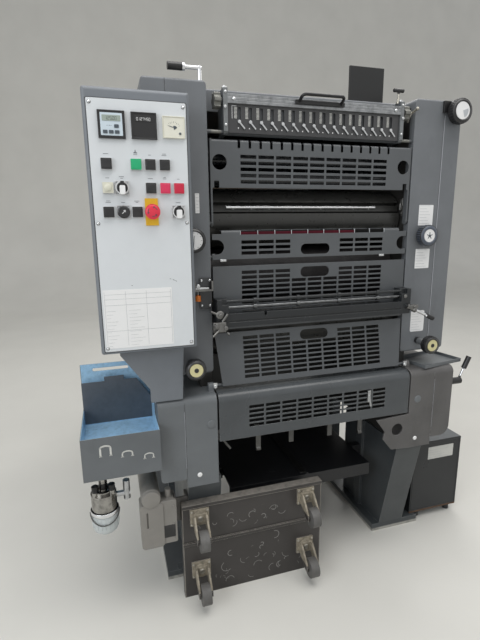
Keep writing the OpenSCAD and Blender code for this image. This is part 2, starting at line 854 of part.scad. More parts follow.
// Places on the panel are counted from its middle and from its lower edge
module on_panel(x, z) {
    translate([console_x + x, panel_face, panel_z + z]) children();
}

module stand_out(w, h, d) {
    translate([-w / 2, -d, -h / 2]) cube([w, d - seat, h]);
}

// The instruments as [middle, width, height], and the middles of the push buttons in their three rows
instrument_z = panel_h - 57;
instruments = [[-62, 62, 62], [13, 60, 60], [84, 54, 50]];
row_z = [panel_h - 145, panel_h - 200, stop_at[1]];
row_x = [[-80, -11, 23, 58], [-80, 22, 57, 91], [-82, -14]];
stop_plate = [32, 66];
module console_controls() {
    color("#202022") {
        for (i = instruments) on_panel(i[0], instrument_z) stand_out(i[1], i[2], 6);
        for (r = [0 : 2], x = row_x[r]) on_panel(x, row_z[r]) difference() {
            stand_out(button_w, button_w, 6);
            translate([-button_w / 2 + 4, -7, -button_w / 2 + 4]) cube([button_w - 8, 4, button_w - 8]);
        }
        along_y(panel_face - 3, panel_face - seat) difference() {
            translate([console_x + stop_at[0] - stop_plate[0] / 2, panel_z + stop_at[1] - stop_plate[1] / 2])
                square(stop_plate);
            stop_bore();
        }
    }
}

module emergency_stop() {
    color("red") on_panel(stop_at[0], stop_at[1]) rotate([90, 0, 0]) {
        cylinder(d = stem_d, h = 25);
        translate([0, 0, 15]) cylinder(d1 = 30, d2 = 37, h = 10);
    }
}

module selector_shape() {
    rotate([90, 0, 0]) translate([0, 0, seat]) {
        cylinder(d = 32, h = 8);
        translate([-4, -15, 7]) cube([8, 30, 12]);
    }
}

module selector_upper() {
    color("#202022") on_panel(-47, row_z[1]) selector_shape();
}

module selector_lower() {
    color("#202022") on_panel(88, row_z[2]) selector_shape();
}

module tool_tray() {
    y1 = tray_y + tray_d;
    rim = tray_z + tray_h;
    left = tray_x - tray_w;
    right = tray_x - seat;
    divider_y = y1 - 22;
    tab_r = 14;
    color("#4c5c70") {
        difference() {
            block([left, tray_y, tray_z], [right, y1, rim]);
            block([left + tray_t, tray_y + tray_t, tray_z + tray_floor], [right - tray_t, y1 - tray_t, rim + 1]);
            block([left + tray_t, tray_y + tray_t, tray_z - 1],
                [right - tray_t, y1 - tray_t, tray_z + tray_floor - tray_t]);
        }
        // Back plate with its slot and slanted corner
        along_y(y1 - tray_t, y1) difference() {
            polygon([[left, tray_z + 1], [right, tray_z + 1], [right, rim + 40], [right - 60, rim + tray_back],
                [left, rim + tray_back]]);
            round_rect(left + 36, rim + tray_back - 24, 108, 10, 4);
        }
        // Divider in front of it, with a raised tab
        along_y(divider_y - tray_t, divider_y) {
            polygon([[left + 1, tray_z + tray_floor - 1], [right - 1, tray_z + tray_floor - 1],
                [right - 1, rim + 20], [right - 46, rim + 88], [left + 1, rim + 88]]);
            translate([left + 69, rim + 80]) square([59, 22]);
        }
        // The right wall rises to a rounded tab at its rear
        along_x(right - tray_t, right) {
            translate([y1 - 110, rim - 1]) square([110, 41 - tab_r]);
            translate([y1 - 110 + tab_r, rim + 40 - tab_r]) circle(tab_r);
            translate([y1 - 110 + tab_r, rim]) square([110 - tab_r, 40]);
        }
    }
}

bowl_x = tray_x - tray_w + 46;
module filter_bowl() {
    y = tray_y + 60;
    neck_z = tray_z - 134;
    bowl_r = bowl_d / 2;
    color("#c8d0d4") {
        // Bowl with a rounded bottom, its clamp ring and the head that hangs from the tray
        translate([bowl_x, y, neck_z]) rotate_extrude() {
            translate([0, -40]) square([bowl_r - 3, 42]);
            intersection() {
                translate([0, -20]) circle(bowl_r - 3);
                translate([0, -60]) square([bowl_r, 42]);
            }
            square([bowl_r, 3]);
            square([bowl_r + 4, 12]);
            translate([0, 11]) square([bowl_r + 1, 52]);
            translate([0, 62]) square([bowl_r - 8, 10]);
        }
        rod_z(bowl_x, y, neck_z + 70, tray_z + tray_floor - tray_t - seat, 24);
        for (x = [-22, 24]) rod_z(bowl_x + x, y - 14, neck_z + 62, neck_z + 92, 19);
        // Outlet with its valve on the right
        rod_x(bowl_x + bowl_r - 2, bowl_x + bowl_r + 40, y, neck_z + 48, 16);
        rod_z(bowl_x + bowl_r + 30, y, neck_z + 30, neck_z + 88, 20);
    }
}

pump_x = -leg_out - 98;
pump_y = -cheek_fwd;
pump_low = 222;
pump_top = 370;
motor_x = pump_x - 20;
motor_z = pump_top + 16;
module pump_unit() {
    housing_d = 56;
    back = pump_y + housing_d;
    dome_h = 10;
    dome_r = (pow(motor_d / 2, 2) + pow(dome_h, 2)) / (2 * dome_h);
    color("#6a665e") {
        // Motor lying over the housing, with a domed front end
        rod_y(motor_x, pump_y + dome_h, pump_y + 196, motor_z, motor_d);
        translate([motor_x, pump_y + dome_h, motor_z]) rotate([90, 0, 0]) rotate_extrude() intersection() {
            translate([0, dome_h - dome_r]) circle(dome_r);
            translate([0, -1]) square([motor_d / 2, dome_h + 1]);
        }
        // Housing of two halves with a groove down the wider one
        difference() {
            union() {
                along_y(pump_y, back) round_rect(pump_x - 54, pump_low, 68, pump_top - pump_low, 12);
                along_y(pump_y + 3, back) round_rect(pump_x + 2, pump_low + 6, 52, pump_top - pump_low - 4, 6);
            }
            block([pump_x - 36, pump_y - 1, pump_low + 70], [pump_x - 31, pump_y + 5, pump_top - 26]);
        }
        rod_z(pump_x + 32, pump_y + 26, pump_top, pump_top + 30, 18);
        // Angle bracket to the leg's outer face
        block([pump_x + 30, back - 1, pump_low + 38], [-leg_out - seat, back + 7, pump_top - 30]);
        block([-leg_out - seat - 8, back, pump_low + 38], [-leg_out - seat, back + 40, pump_top - 30]);
    }
}

module control_cabinet() {
    x0 = leg_out + 45;
    y0 = 60;
    // The body is seated on the floor plate at its inner side and stands on feet beyond it
    body_z = foot_t + seat;
    foot_d = 24;
    color("#1d1e20") {
        block([x0, y0, body_z], [x0 + cabinet_w, y0 + cabinet_d, cabinet_h]);
        for (x = [foot_out + foot_d, x0 + cabinet_w - foot_d], y = [y0 + foot_d, y0 + cabinet_d - foot_d])
            rod_z(x, y, 0, body_z + 1, foot_d);
    }
}

module loose_tray() {
    w = 180;
    d = 130;
    wall = 3;
    color("#5a6068") translate([cheek_out - 40, 20, cheek_top + seat]) rotate([0, 0, 10]) difference() {
        translate([-w / 2, -d / 2, 0]) cube([w, d, 12]);
        translate([wall - w / 2, wall - d / 2, 2]) cube([w - 2 * wall, d - 2 * wall, 12]);
    }
}

// Dial with a rounded rim and a flat face, on a short spindle from the cover behind it
module dial(x, y, z, d, stem) {
    translate([x, y - seat, z]) rotate([90, 0, 0]) {
        cylinder(d = d * 0.4, h = stem);
        translate([0, 0, stem - 0.5]) cylinder(d = d, h = 22);
    }
}

module dial_top_right() {
    color("#1c1c1e") dial(480, 0, tower_top - 37, 74, 14);
}

module dial_mid_right() {
    color("#1c1c1e") dial(half + 60, 0, mid_z + 57, 68, 10);
}

module dial_mid_left() {
    color("#1c1c1e") dial(-half - 53, 0, mid_z + 57, 68, 10);
}

module hand_knob_right() {
    color("#1c1c1e") dial(half + 67, 0, tower_z + 38, 58, 56);
}

module hand_knob_left() {
    color("#1c1c1e") dial(-half - 67, 0, tower_z + 38, 58, 56);
}

module top_lever() {
    color("silver") translate([-half - 14, cover_t / 2, tower_top + seat]) {
        cylinder(d = 10, h = 36);
        translate([5, 0, 31]) rotate([0, -90, 0]) cylinder(d = 10, h = 50);
        translate([-40, 0, 31]) rotate([0, -90, 0]) cylinder(d = 20, h = 46);
    }
}

side_lever_y = -40;
module side_lever() {
    color("silver") translate([cheek_out + seat, side_lever_y, cheek_top - 66]) {
        rotate([0, 90, 0]) cylinder(d = 24, h = 52);
        translate([44, 0, 0]) rotate([0, 25, 0]) {
            cylinder(d = 8, h = 60);
            translate([0, 0, 48]) cylinder(d = 18, h = 46);
        }
    }
}

// Register adjuster on the left tower: a screwed plate, a bent clip and a knurled knob
module register_bracket() {
    x0 = -half - 56;
    x1 = -guard_half - 6;
    z0 = mid_z - 142;
    color("silver") {
        along_y(-5, -seat) round_rect(x0 + 20, z0, x1 - x0 - 20, 92, 4);
        block([x0, -26, z0 + 55], [x1, -4, z0 + 60]);
        block([x0, -26, z0 + 55], [x0 + 5, -4, z0 + 84]);
        block([x1 - 5, -26, z0 + 55], [x1, -4, z0 + 84]);
        rod_z(x0 + 12, -16, z0 + 32, z0 + 56, 7);
        rod_z(x0 + 12, -16, z0 + 26, z0 + 42, 17);
    }
}

module pile_trolley() {
    wall = 5;
    seam_z = 0.6 * trolley_h;
    x1 = trolley_x + trolley_w;
    fork_in = 16;
    fork_out = 22;
    color("#3a3632") {
        // Pan of sheet steel with its edges bent back
        difference() {
            block([trolley_x, trolley_y, 0], [x1, trolley_y + trolley_t, trolley_h]);
            block([trolley_x + wall, trolley_y + wall, wall],
                [x1 - wall, trolley_y + trolley_t + 1, trolley_h - wall]);
        }
        // Lapped edge across the middle and the rail along the top
        block([trolley_x, trolley_y - 5, seam_z - 10], [x1, trolley_y + 1, seam_z]);
        block([trolley_x, trolley_y - 4, trolley_h - 12], [x1, trolley_y + 1, trolley_h]);
        for (x = caster_x, z = caster_z) translate([trolley_x + x, trolley_y, z]) {
            translate([-30, -6, -28]) cube([60, 7, 56]);
            translate([0, -4, 0]) rotate([90, 0, 0]) cylinder(d = 46, h = 9);
            translate([-fork_out, -16, -16]) cube([2 * fork_out, 6, 32]);
            for (s = [-fork_out, fork_in]) along_x(s, fork_out - fork_in + s) polygon([[-10, 16], [-10, -16],
                [7 - caster_out, -caster_drop - 10], [-caster_out - 8, -caster_drop - 7],
                [-caster_out - 8, -caster_drop + 7], [-26, 16]]);
            translate([-fork_out, -caster_out, -caster_drop]) rotate([0, 90, 0])
                cylinder(d = axle_d, h = 2 * fork_out);
        }
    }
}

// Wheels of the four casters, hanging in their forks
module caster_wheel(i) {
    x = trolley_x + caster_x[i % 2];
    z = caster_z[floor(i / 2)];
    color("gray") translate([x - 14, trolley_y - caster_out, z - caster_drop]) rotate([0, 90, 0]) difference() {
        cylinder(d = wheel_d, h = 28);
        translate([0, 0, -1]) cylinder(d = axle_d + 2 * run, h = 30);
    }
}

// Frame plate of the feeder with a cut-out, the post over the pile and the tie bars
frame_w = 40;
frame_x = half + 4;
post_d = 40;
post_y = y_high - 220;
module feeder_frames() {
    y0 = tower_d;
    tie_d = 24;
    beam_h = 40;
    window = [y0 + 90, 220, 330, 400];
    color("#50545a") {
        both_sides() {
            along_x(frame_x, frame_x + frame_w) difference() {
                polygon([[y0 + seat, 120], [y_high - 30, 120], [y_high, 150], [y_high, feeder_h - 120],
                    [y_high - 60, feeder_h], [y0 + seat, feeder_h]]);
                round_rect(window[0], window[1], window[2], window[3], 40);
            }
            block([frame_x, post_y, feeder_h - 1], [frame_x + frame_w, post_y + post_d, beam_z]);
        }
        for (y = [y0 + 60, y0 + 480]) rod_x(-frame_x - 1, frame_x + 1, y, feeder_h - 30, tie_d);
        block([-frame_x - frame_w, post_y, beam_z - 1], [frame_x + frame_w, post_y + post_d, beam_z + beam_h]);
    }
}

// Board with its four feed tapes and the bar of wheels that hold the sheet down
board_w = 550;
board_l = 550;
board_t = 18;
tape_x = [-190, -65, 65, 190];
module feed_board() {
    y0 = tower_d + 10;
    wheel_r = 17;
    bar_y = y0 + 380;
    bar_up = feeder_h + 2 * wheel_r + 22;
    color("#7a6a50") {
        block([-board_w / 2, y0, feeder_h - board_t + seat], [board_w / 2, y0 + board_l, feeder_h]);
        for (x = tape_x) block([x - 14, y0 + 2, feeder_h - 1], [x + 14, y0 + board_l - 2, feeder_h + 2]);
        // Bar on two posts, with an arm and a wheel over each tape
        both_sides() rod_z(board_w / 2 - 14, bar_y, feeder_h - 1, bar_up + 8, 14);
        rod_x(-board_w / 2 + 10, board_w / 2 - 10, bar_y, bar_up, 12);
        for (x = tape_x) {
            block([x - 3, bar_y - 46, feeder_h + wheel_r - 4], [x + 3, bar_y - 36, bar_up + 4]);
            block([x - 3, bar_y - 46, bar_up - 5], [x + 3, bar_y + 8, bar_up + 5]);
            rod_x(x - 8, x + 8, bar_y - 41, feeder_h + wheel_r + 2, 2 * wheel_r);
        }
    }
}

// Suction head on the beam, with four suckers, their lift bars and the blowing tube behind them
module feeder_head() {
    head_w = 260;
    front = post_y - 80;
    back = post_y - seat;
    color("#6a6e72") {
        along_x(-head_w / 2, head_w / 2) round_rect(front, beam_z - 60, back - front, 90, 8);
        block([-head_w / 2 - 60, front + 30, beam_z - 30], [head_w / 2 + 60, front + 50, beam_z - 12]);
        for (x = [-90, -30, 30, 90]) {
            rod_z(x, front + 30, beam_z - 118, beam_z - 59, 14);
            translate([x, front + 30, beam_z - 132]) cylinder(d1 = 30, d2 = 16, h = 15);
        }
        both_sides() {
            rod_z(head_w / 2 + 50, front + 40, beam_z - 110, beam_z - 20, 12);
            rod_y(head_w / 2 + 50, front + 10, front + 46, beam_z - 106, 12);
        }
    }
}

// Pile board with its corners cut, two bearers under it and the lift lugs that run at the frames
module feeder_pile_board() {
    y0 = post_y - 110;
    y1 = y_high - 20;
    z0 = 420;
    board = 30;
    corner = 40;
    side = half - 64;
    color("#6a5a44") {
        translate([0, 0, z0]) linear_extrude(board) polygon([[corner - side, y0], [side - corner, y0],
            [side, y0 + corner], [side, y1 - corner], [side - corner, y1], [corner - side, y1],
            [-side, y1 - corner], [-side, y0 + corner]]);
        for (x = [-200, 160]) block([x, y0 + 10, z0 - 20], [x + 40, y1 - 10, z0 + 1]);
        both_sides() block([side - 1, post_y - 40, z0 - 20], [frame_x - seat, post_y + 20, z0 + board]);
    }
}

in_place() base_feet();
in_place() side_frames();
in_place() cross_members();
in_place() tower_left();
in_place() tower_right();
in_place() top_cover();
in_place() upright_plate();
in_place() rear_cover();
in_place() cheek_left();
in_place() cheek_right();
in_place() sheet_stops();
in_place() delivery_table();
in_place() delivery_hood();
in_place() lower_guard();
in_place() blanket_guard();
in_place() imprint_bar();
in_place() plate_guard();
in_place() upper_guard();
in_place() ink_fountain();
in_place() key_plate();
in_place() ink_keys();
in_place() ink_rollers();
in_place() plate_cylinder();
in_place() blanket_cylinder();
in_place() impression_cylinder();
in_place() console_box();
in_place() console_panel();
in_place() console_controls();
in_place() emergency_stop();
in_place() selector_upper();
in_place() selector_lower();
in_place() tool_tray();
in_place() filter_bowl();
in_place() pump_unit();
in_place() control_cabinet();
in_place() loose_tray();
in_place() dial_top_right();
in_place() dial_mid_right();
in_place() dial_mid_left();
in_place() hand_knob_right();
in_place() hand_knob_left();
in_place() top_lever();
in_place() side_lever();
in_place() register_bracket();
in_place() pile_trolley();
in_place() caster_wheel(0);  // caster_wheel_1
in_place() caster_wheel(1);  // caster_wheel_2
in_place() caster_wheel(2);  // caster_wheel_3
in_place() caster_wheel(3);  // caster_wheel_4
in_place() feeder_frames();
in_place() feed_board();
in_place() feeder_head();
in_place() feeder_pile_board();
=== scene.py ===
# %% [markdown]
# # A small offset printing press
# The machine prints sheets of paper between three cylinders, and we look at its delivery end, where
# the printed sheets come out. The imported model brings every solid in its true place, so this lesson
# only adds what light and eye need: a camera, a room, a finish for each surface, and the small
# things that are too fine for the solids, such as screws, scales and printed dials.

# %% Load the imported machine
from math import cos, pi, radians, sin
import bmesh
import bpy
from mathutils import Matrix, Vector, noise


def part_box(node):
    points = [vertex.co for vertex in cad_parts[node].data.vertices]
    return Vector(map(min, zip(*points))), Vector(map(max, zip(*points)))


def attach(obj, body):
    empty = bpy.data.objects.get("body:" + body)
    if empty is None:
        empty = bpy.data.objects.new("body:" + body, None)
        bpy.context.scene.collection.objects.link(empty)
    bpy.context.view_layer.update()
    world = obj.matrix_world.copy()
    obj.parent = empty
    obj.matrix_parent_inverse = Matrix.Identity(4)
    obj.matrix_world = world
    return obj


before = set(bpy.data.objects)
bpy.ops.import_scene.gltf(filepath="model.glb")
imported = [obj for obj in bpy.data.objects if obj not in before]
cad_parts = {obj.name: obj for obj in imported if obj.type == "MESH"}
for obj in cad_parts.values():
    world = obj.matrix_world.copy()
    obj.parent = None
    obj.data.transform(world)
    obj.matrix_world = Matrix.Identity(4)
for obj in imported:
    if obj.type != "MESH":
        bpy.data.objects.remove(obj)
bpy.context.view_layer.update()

# %% [markdown]
# ## One way to say where things are
# A press builder measures from the middle between the side frames, from the front of the towers and
# from the floor, in millimetres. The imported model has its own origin, so we read those two planes
# from the solids once. After that every place in this file is written the way the builder says it.

# %% The builder's coordinates
frames_low, frames_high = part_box("side_frames")
middle_x = (frames_low.x + frames_high.x) / 2
front_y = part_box("tower_left")[0].y
MM = 0.001


def at(x, y, z):
    """A point in metres from the builder's millimetres."""
    return Vector((middle_x + x * MM, front_y + y * MM, z * MM))


def corners_of(node_name):
    """The lowest and the highest corner of a solid in the builder's millimetres."""
    return [Vector(((p.x - middle_x) / MM, (p.y - front_y) / MM, p.z / MM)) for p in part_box(node_name)]


def low_of(node_name):
    """The lowest corner alone."""
    return corners_of(node_name)[0]


def high_of(node_name):
    """The highest corner alone."""
    return corners_of(node_name)[1]


print("middle of the machine at x", round(middle_x, 4), "tower fronts at y", round(front_y, 4))

# %% [markdown]
# ## The camera
# The photograph was taken by someone who stood left of the middle and held the camera at chest
# height. Its lens is a wide one, which is why the console looms so large. We set the same place and
# turn, with the long side of the sensor upright as in the picture. A camera looks along its own -Z,
# so its axes are built from the three angles instead of being turned by eye.

# %% Camera
CAMERA_PLACE = (-618, -1239, 1174)
CAMERA_YAW = radians(16.655)
CAMERA_PITCH = radians(12.054)
CAMERA_ROLL = radians(-0.75)
LENS_MM = 24.43

ahead = Vector((sin(CAMERA_YAW) * cos(CAMERA_PITCH), cos(CAMERA_YAW) * cos(CAMERA_PITCH),
                -sin(CAMERA_PITCH)))
side = Vector((cos(CAMERA_YAW), -sin(CAMERA_YAW), 0))
above = side.cross(ahead)
right = cos(CAMERA_ROLL) * side + sin(CAMERA_ROLL) * above
up = cos(CAMERA_ROLL) * above - sin(CAMERA_ROLL) * side

camera_data = bpy.data.cameras.new("camera")
camera_data.sensor_width = 36
camera_data.lens = LENS_MM
camera_data.clip_start = 0.02
camera = bpy.data.objects.new("camera", camera_data)
bpy.context.scene.collection.objects.link(camera)
turn_to_view = Matrix((right, up, -ahead)).transposed().to_4x4()
camera.matrix_world = Matrix.Translation(at(*CAMERA_PLACE)) @ turn_to_view
bpy.context.scene.camera = camera
bpy.context.scene.view_settings.view_transform = "Standard"
print("camera at", [round(v, 3) for v in camera.location], "lens", LENS_MM)

# %% [markdown]
# ## A few words for shader nodes
# Each finish below is a small network of nodes. Writing out every node and link would hide the idea
# behind it, so short helpers come first. These add a node and fill its sockets, give the place on the
# piece and make a noise there.

# %% Nodes, places and noise
def new_material(name):
    """An empty material with its shader, ready for a network."""
    material = bpy.data.materials.new(name)
    material.use_nodes = True
    return material, material.node_tree, material.node_tree.nodes["Principled BSDF"]


def add(tree, kind, settings=None, **sockets):
    """Adds one node. A socket is given a value, or another node's output to be linked to it."""
    made = tree.nodes.new(kind)
    for key, value in (settings or {}).items():
        setattr(made, key, value)
    for key, value in sockets.items():
        socket = made.inputs[int(key[1:])] if key[0] == "i" and key[1:].isdigit() else made.inputs[key]
        if isinstance(value, bpy.types.NodeSocket):
            tree.links.new(value, socket)
        else:
            socket.default_value = value
    return made


def place(tree, stretch=(1, 1, 1)):
    """The point on the piece in metres, stretched along its axes."""
    where = add(tree, "ShaderNodeTexCoord").outputs["Object"]
    if stretch == (1, 1, 1):
        return where
    return add(tree, "ShaderNodeMapping", Vector=where, Scale=stretch).outputs[0]


def cloud(tree, where, scale, detail=3.0, roughness=0.5):
    """A soft noise between 0 and 1."""
    return add(tree, "ShaderNodeTexNoise", Vector=where, Scale=scale, Detail=detail,
               Roughness=roughness).outputs["Fac"]


print("helpers for nodes, places and noise")

# %% [markdown]
# Paint wears off in patches, so most of the work is done by masks. A mask is a value between 0 and 1
# with a soft slope, and two masks can be multiplied or added before they mix two colours.

# %% Masks and mixes
def mask(tree, value, start, end):
    """0 below start and 1 above end, with a straight slope between them."""
    return add(tree, "ShaderNodeMapRange", Value=value, **{"From Min": start, "From Max": end}).outputs[0]


def spread(tree, share, low, high):
    """A value that goes from low to high as the share goes from 0 to 1."""
    return add(tree, "ShaderNodeMapRange", Value=share, **{"To Min": low, "To Max": high}).outputs[0]


def times(tree, a, b):
    """Product of two values."""
    return add(tree, "ShaderNodeMath", {"operation": "MULTIPLY", "use_clamp": True}, i0=a, i1=b).outputs[0]


def plus(tree, a, b):
    """Sum of two values, held between 0 and 1."""
    return add(tree, "ShaderNodeMath", {"operation": "ADD", "use_clamp": True}, i0=a, i1=b).outputs[0]


def mix(tree, fac, a, b):
    """Colour a where fac is 0 and colour b where it is 1."""
    made = add(tree, "ShaderNodeMix", {"data_type": "RGBA"}, i0=fac)
    for socket, value in ((made.inputs[6], a), (made.inputs[7], b)):
        if isinstance(value, bpy.types.NodeSocket):
            tree.links.new(value, socket)
        else:
            socket.default_value = (*value[:3], 1)
    return made.outputs[2]


def shade(colour, factor):
    """The same colour, lighter or darker."""
    return tuple(min(1, c * factor) for c in colour[:3])


print("helpers for masks and mixes")

# %% [markdown]
# Two helpers act on the surface's normal. The first rounds every edge for the light's eye and says how
# near an edge is, and the second presses dents and grain into the surface.

# %% Soft edges and bumps
def soft_edges(tree, radius):
    """The normal as if every edge were rounded, and a mask of how near an edge is."""
    rounded = add(tree, "ShaderNodeBevel", {"samples": 6}, Radius=radius).outputs[0]
    flat = add(tree, "ShaderNodeNewGeometry").outputs["Normal"]
    agree = add(tree, "ShaderNodeVectorMath", {"operation": "DOT_PRODUCT"}, i0=rounded, i1=flat)
    return rounded, mask(tree, agree.outputs["Value"], 0.995, 0.80)


def set_bump(tree, shader, height, strength, distance, normal=None):
    """Turns a height into small dents and bumps of the shader's surface."""
    bump = add(tree, "ShaderNodeBump", Height=height, Strength=strength, Distance=distance)
    if normal is not None:
        tree.links.new(normal, bump.inputs["Normal"])
    tree.links.new(bump.outputs[0], shader.inputs["Normal"])


print("helpers for edges and bumps")

# %% [markdown]
# ## The room
# The machine stands on a pale, faintly spotted floor. It is one sheet that curves up behind the
# machine, so there is no horizon line to draw the eye.

# %% Floor and backdrop
FLOOR_COLOUR = (0.66, 0.65, 0.61)
floor_material, tree, shader = new_material("pale_floor")
spots = cloud(tree, place(tree), 2.2, 5)
tree.links.new(mix(tree, mask(tree, spots, 0.3, 0.75), FLOOR_COLOUR, shade(FLOOR_COLOUR, 0.93)),
               shader.inputs["Base Color"])
shader.inputs["Roughness"].default_value = 0.42
set_bump(tree, shader, spots, 0.05, 0.002)


def sweep_floor(half_width, front, back, height, bend):
    """A floor from front to back whose far edge bends up into a wall."""
    profile = [(front, 0.0), (back - bend, 0.0)]
    steps = 12
    profile += [(back - bend + bend * sin(pi / 2 * k / steps), bend - bend * cos(pi / 2 * k / steps))
                for k in range(1, steps + 1)]
    profile.append((back, height))
    shape = bmesh.new()
    rows = [[shape.verts.new((x, y, z)) for x in (-half_width, half_width)] for y, z in profile]
    for a, b in zip(rows, rows[1:]):
        shape.faces.new((a[0], a[1], b[1], b[0])).smooth = True
    mesh = bpy.data.meshes.new("floor")
    shape.to_mesh(mesh)
    shape.free()
    return bpy.data.objects.new("floor", mesh)


floor = sweep_floor(9.0, -8.0, 6.5, 7.0, 2.0)
floor.data.materials.append(floor_material)
bpy.context.scene.collection.objects.link(floor)
print("floor with", len(floor.data.polygons), "faces")

# %% [markdown]
# A printing shop is lit by long tubes under a pale ceiling, so its light comes softly from above and
# shadows are weak. A wide lamp over the machine, one at the viewer's left and one behind give that. The
# air itself also gives light, and what the eye or a shiny surface sees of it is a plain pale wall.

# %% Lamps and air
def lamp(name, where, target, width, height, watts, colour):
    """A flat lamp that faces a target."""
    data = bpy.data.lights.new(name, "AREA")
    data.shape = "RECTANGLE"
    data.size = width
    data.size_y = height
    data.energy = watts
    data.color = colour
    made = bpy.data.objects.new(name, data)
    made.location = where
    made.rotation_euler = (Vector(target) - Vector(where)).to_track_quat("-Z", "Y").to_euler()
    bpy.context.scene.collection.objects.link(made)


heart = at(0, 200, 900)
lamp("ceiling_tubes", heart + Vector((0.2, -0.9, 3.0)), heart, 3.6, 2.4, 95, (1.0, 0.985, 0.96))
lamp("window_left", heart + Vector((-3.2, -2.2, 1.3)), heart, 2.2, 2.4, 55, (0.93, 0.97, 1.0))
lamp("rear_tubes", heart + Vector((1.6, 3.2, 2.6)), heart, 3.0, 1.6, 45, (1.0, 0.985, 0.96))

world = bpy.data.worlds.new("shop_air")
bpy.context.scene.world = world
world.use_nodes = True
tree = world.node_tree
AIR_COLOUR = (0.80, 0.81, 0.82, 1)
AIR_STRENGTH = 0.62
WALL_COLOUR = (0.86, 0.86, 0.85, 1)
lighting = add(tree, "ShaderNodeBackground", Color=AIR_COLOUR, Strength=AIR_STRENGTH)
seen = add(tree, "ShaderNodeBackground", Color=WALL_COLOUR, Strength=1.0)
rays = add(tree, "ShaderNodeLightPath").outputs
looked_at = plus(tree, plus(tree, rays["Is Camera Ray"], rays["Is Glossy Ray"]), rays["Is Transmission Ray"])
both = add(tree, "ShaderNodeMixShader", i0=looked_at, i1=lighting.outputs[0], i2=seen.outputs[0])
tree.links.new(both.outputs[0], tree.nodes["World Output"].inputs[0])
print("three lamps and the air of the shop")

# %% [markdown]
# ## Machine paint
# Every cover is sheet steel or iron under a satin stove enamel. Close up, such paint is never one
# colour: it has the faint pebbled skin of a sprayed coat, darker clouds where oily hands and rags have
# been, fine scratches, and edges rubbed to a lighter tone. A picture of paint would stretch over the
# covers, so we build it from noise that is fixed to the metal, and find the edges with a Bevel node,
# which also gives them the small radius that catches the light.

# %% Machine paint
PAINT_SHINE = 0.42


def painted(name, colour, roughness=0.42, wear=0.5, dirt=0.5, edge=0.0022, scratches=0.35, worn=None):
    """Sprayed enamel with rubbed edges, oily clouds and scratches."""
    material, tree, shader = new_material(name)
    where = place(tree)
    worn_colour = worn or tuple(0.45 * c + 0.30 for c in colour)
    rounded, near_edge = soft_edges(tree, edge)
    clouds = cloud(tree, where, 7, 4, 0.6)
    base = mix(tree, mask(tree, clouds, 0.35, 0.7), shade(colour, 1.06), shade(colour, 1 - 0.22 * dirt))
    oil = mask(tree, cloud(tree, place(tree, (1, 1, 0.35)), 16, 5, 0.65), 0.60, 0.78)
    base = mix(tree, times(tree, oil, 0.55 * dirt), base, shade(colour, 0.45))
    thin = mask(tree, cloud(tree, place(tree, (1.0, 1.0, 26.0)), 9, 6, 0.7), 0.66, 0.74)
    slanted = mask(tree, cloud(tree, place(tree, (34.0, 5.0, 3.0)), 7, 6, 0.7), 0.67, 0.74)
    marks = times(tree, plus(tree, thin, slanted), 0.22 * scratches)
    base = mix(tree, marks, base, worn_colour)
    rubbed = mask(tree, cloud(tree, where, 55, 4, 0.65), 0.62 - 0.25 * wear, 0.80 - 0.25 * wear)
    rubbed = times(tree, near_edge, plus(tree, rubbed, 0.28))
    base = mix(tree, times(tree, rubbed, wear), base, worn_colour)
    tree.links.new(base, shader.inputs["Base Color"])
    dull = mask(tree, clouds, 0.2, 0.8)
    tree.links.new(spread(tree, dull, roughness - 0.07, roughness + 0.12), shader.inputs["Roughness"])
    set_bump(tree, shader, cloud(tree, where, 420, 2), 0.10, 0.0004, rounded)
    shader.inputs["Specular IOR Level"].default_value = PAINT_SHINE
    return material


GREY_BLUE = (0.128, 0.138, 0.146)
TOWER_GREY = (0.140, 0.149, 0.160)
GUARD_GREY = (0.083, 0.089, 0.095)
CONSOLE_GREY = (0.158, 0.172, 0.190)
TRAY_GREY = (0.118, 0.128, 0.136)
finish = {
    "cover": painted("cover_enamel", GREY_BLUE, wear=0.55, dirt=0.5),
    "tower": painted("tower_enamel", TOWER_GREY, wear=0.5, dirt=0.45),
    "hood": painted("hood_enamel", (0.062, 0.068, 0.073), roughness=0.24, wear=0.6, dirt=0.6,
                    scratches=0.9),
    "cheek": painted("cheek_enamel", (0.098, 0.095, 0.094), roughness=0.34, wear=0.6, dirt=0.95,
                     scratches=1.0),
    "guard": painted("guard_enamel", GUARD_GREY, roughness=0.34, wear=0.45, dirt=0.35, edge=0.0012),
    "fountain": painted("fountain_enamel", (0.047, 0.047, 0.049), roughness=0.32, wear=0.5, dirt=0.5,
                        edge=0.0012),
    # The side frames' enamel is near black as painted shade, for the dark inner walls of the bay.
    "frames": painted("frame_enamel", (0.034, 0.033, 0.031), roughness=0.36, wear=0.4, dirt=0.9),
    "console": painted("console_enamel", CONSOLE_GREY, roughness=0.46, wear=0.3, dirt=0.35, edge=0.004),
    "black": painted("black_enamel", (0.010, 0.0105, 0.011), roughness=0.38, wear=0.3, dirt=0.2),
    "table": painted("table_enamel", (0.012, 0.0125, 0.014), roughness=0.33, wear=0.25, scratches=0.9),
    "legs": painted("leg_enamel", (0.053, 0.059, 0.063), roughness=0.30, wear=0.6, dirt=0.9,
                    worn=(0.36, 0.37, 0.37)),
    "tray": painted("tray_enamel", TRAY_GREY, roughness=0.36, wear=0.4, dirt=0.5),
    "cabinet": painted("cabinet_enamel", (0.018, 0.020, 0.022), roughness=0.30, wear=0.35, dirt=0.4),
    "pump": painted("pump_casting", (0.225, 0.214, 0.196), roughness=0.46, wear=0.35, dirt=0.6),
    "trolley": painted("trolley_steel", (0.041, 0.037, 0.035), roughness=0.34, wear=1.0, dirt=0.9,
                       worn=(0.38, 0.35, 0.31), scratches=1.0),
}
print("enamels:", ", ".join(finish))

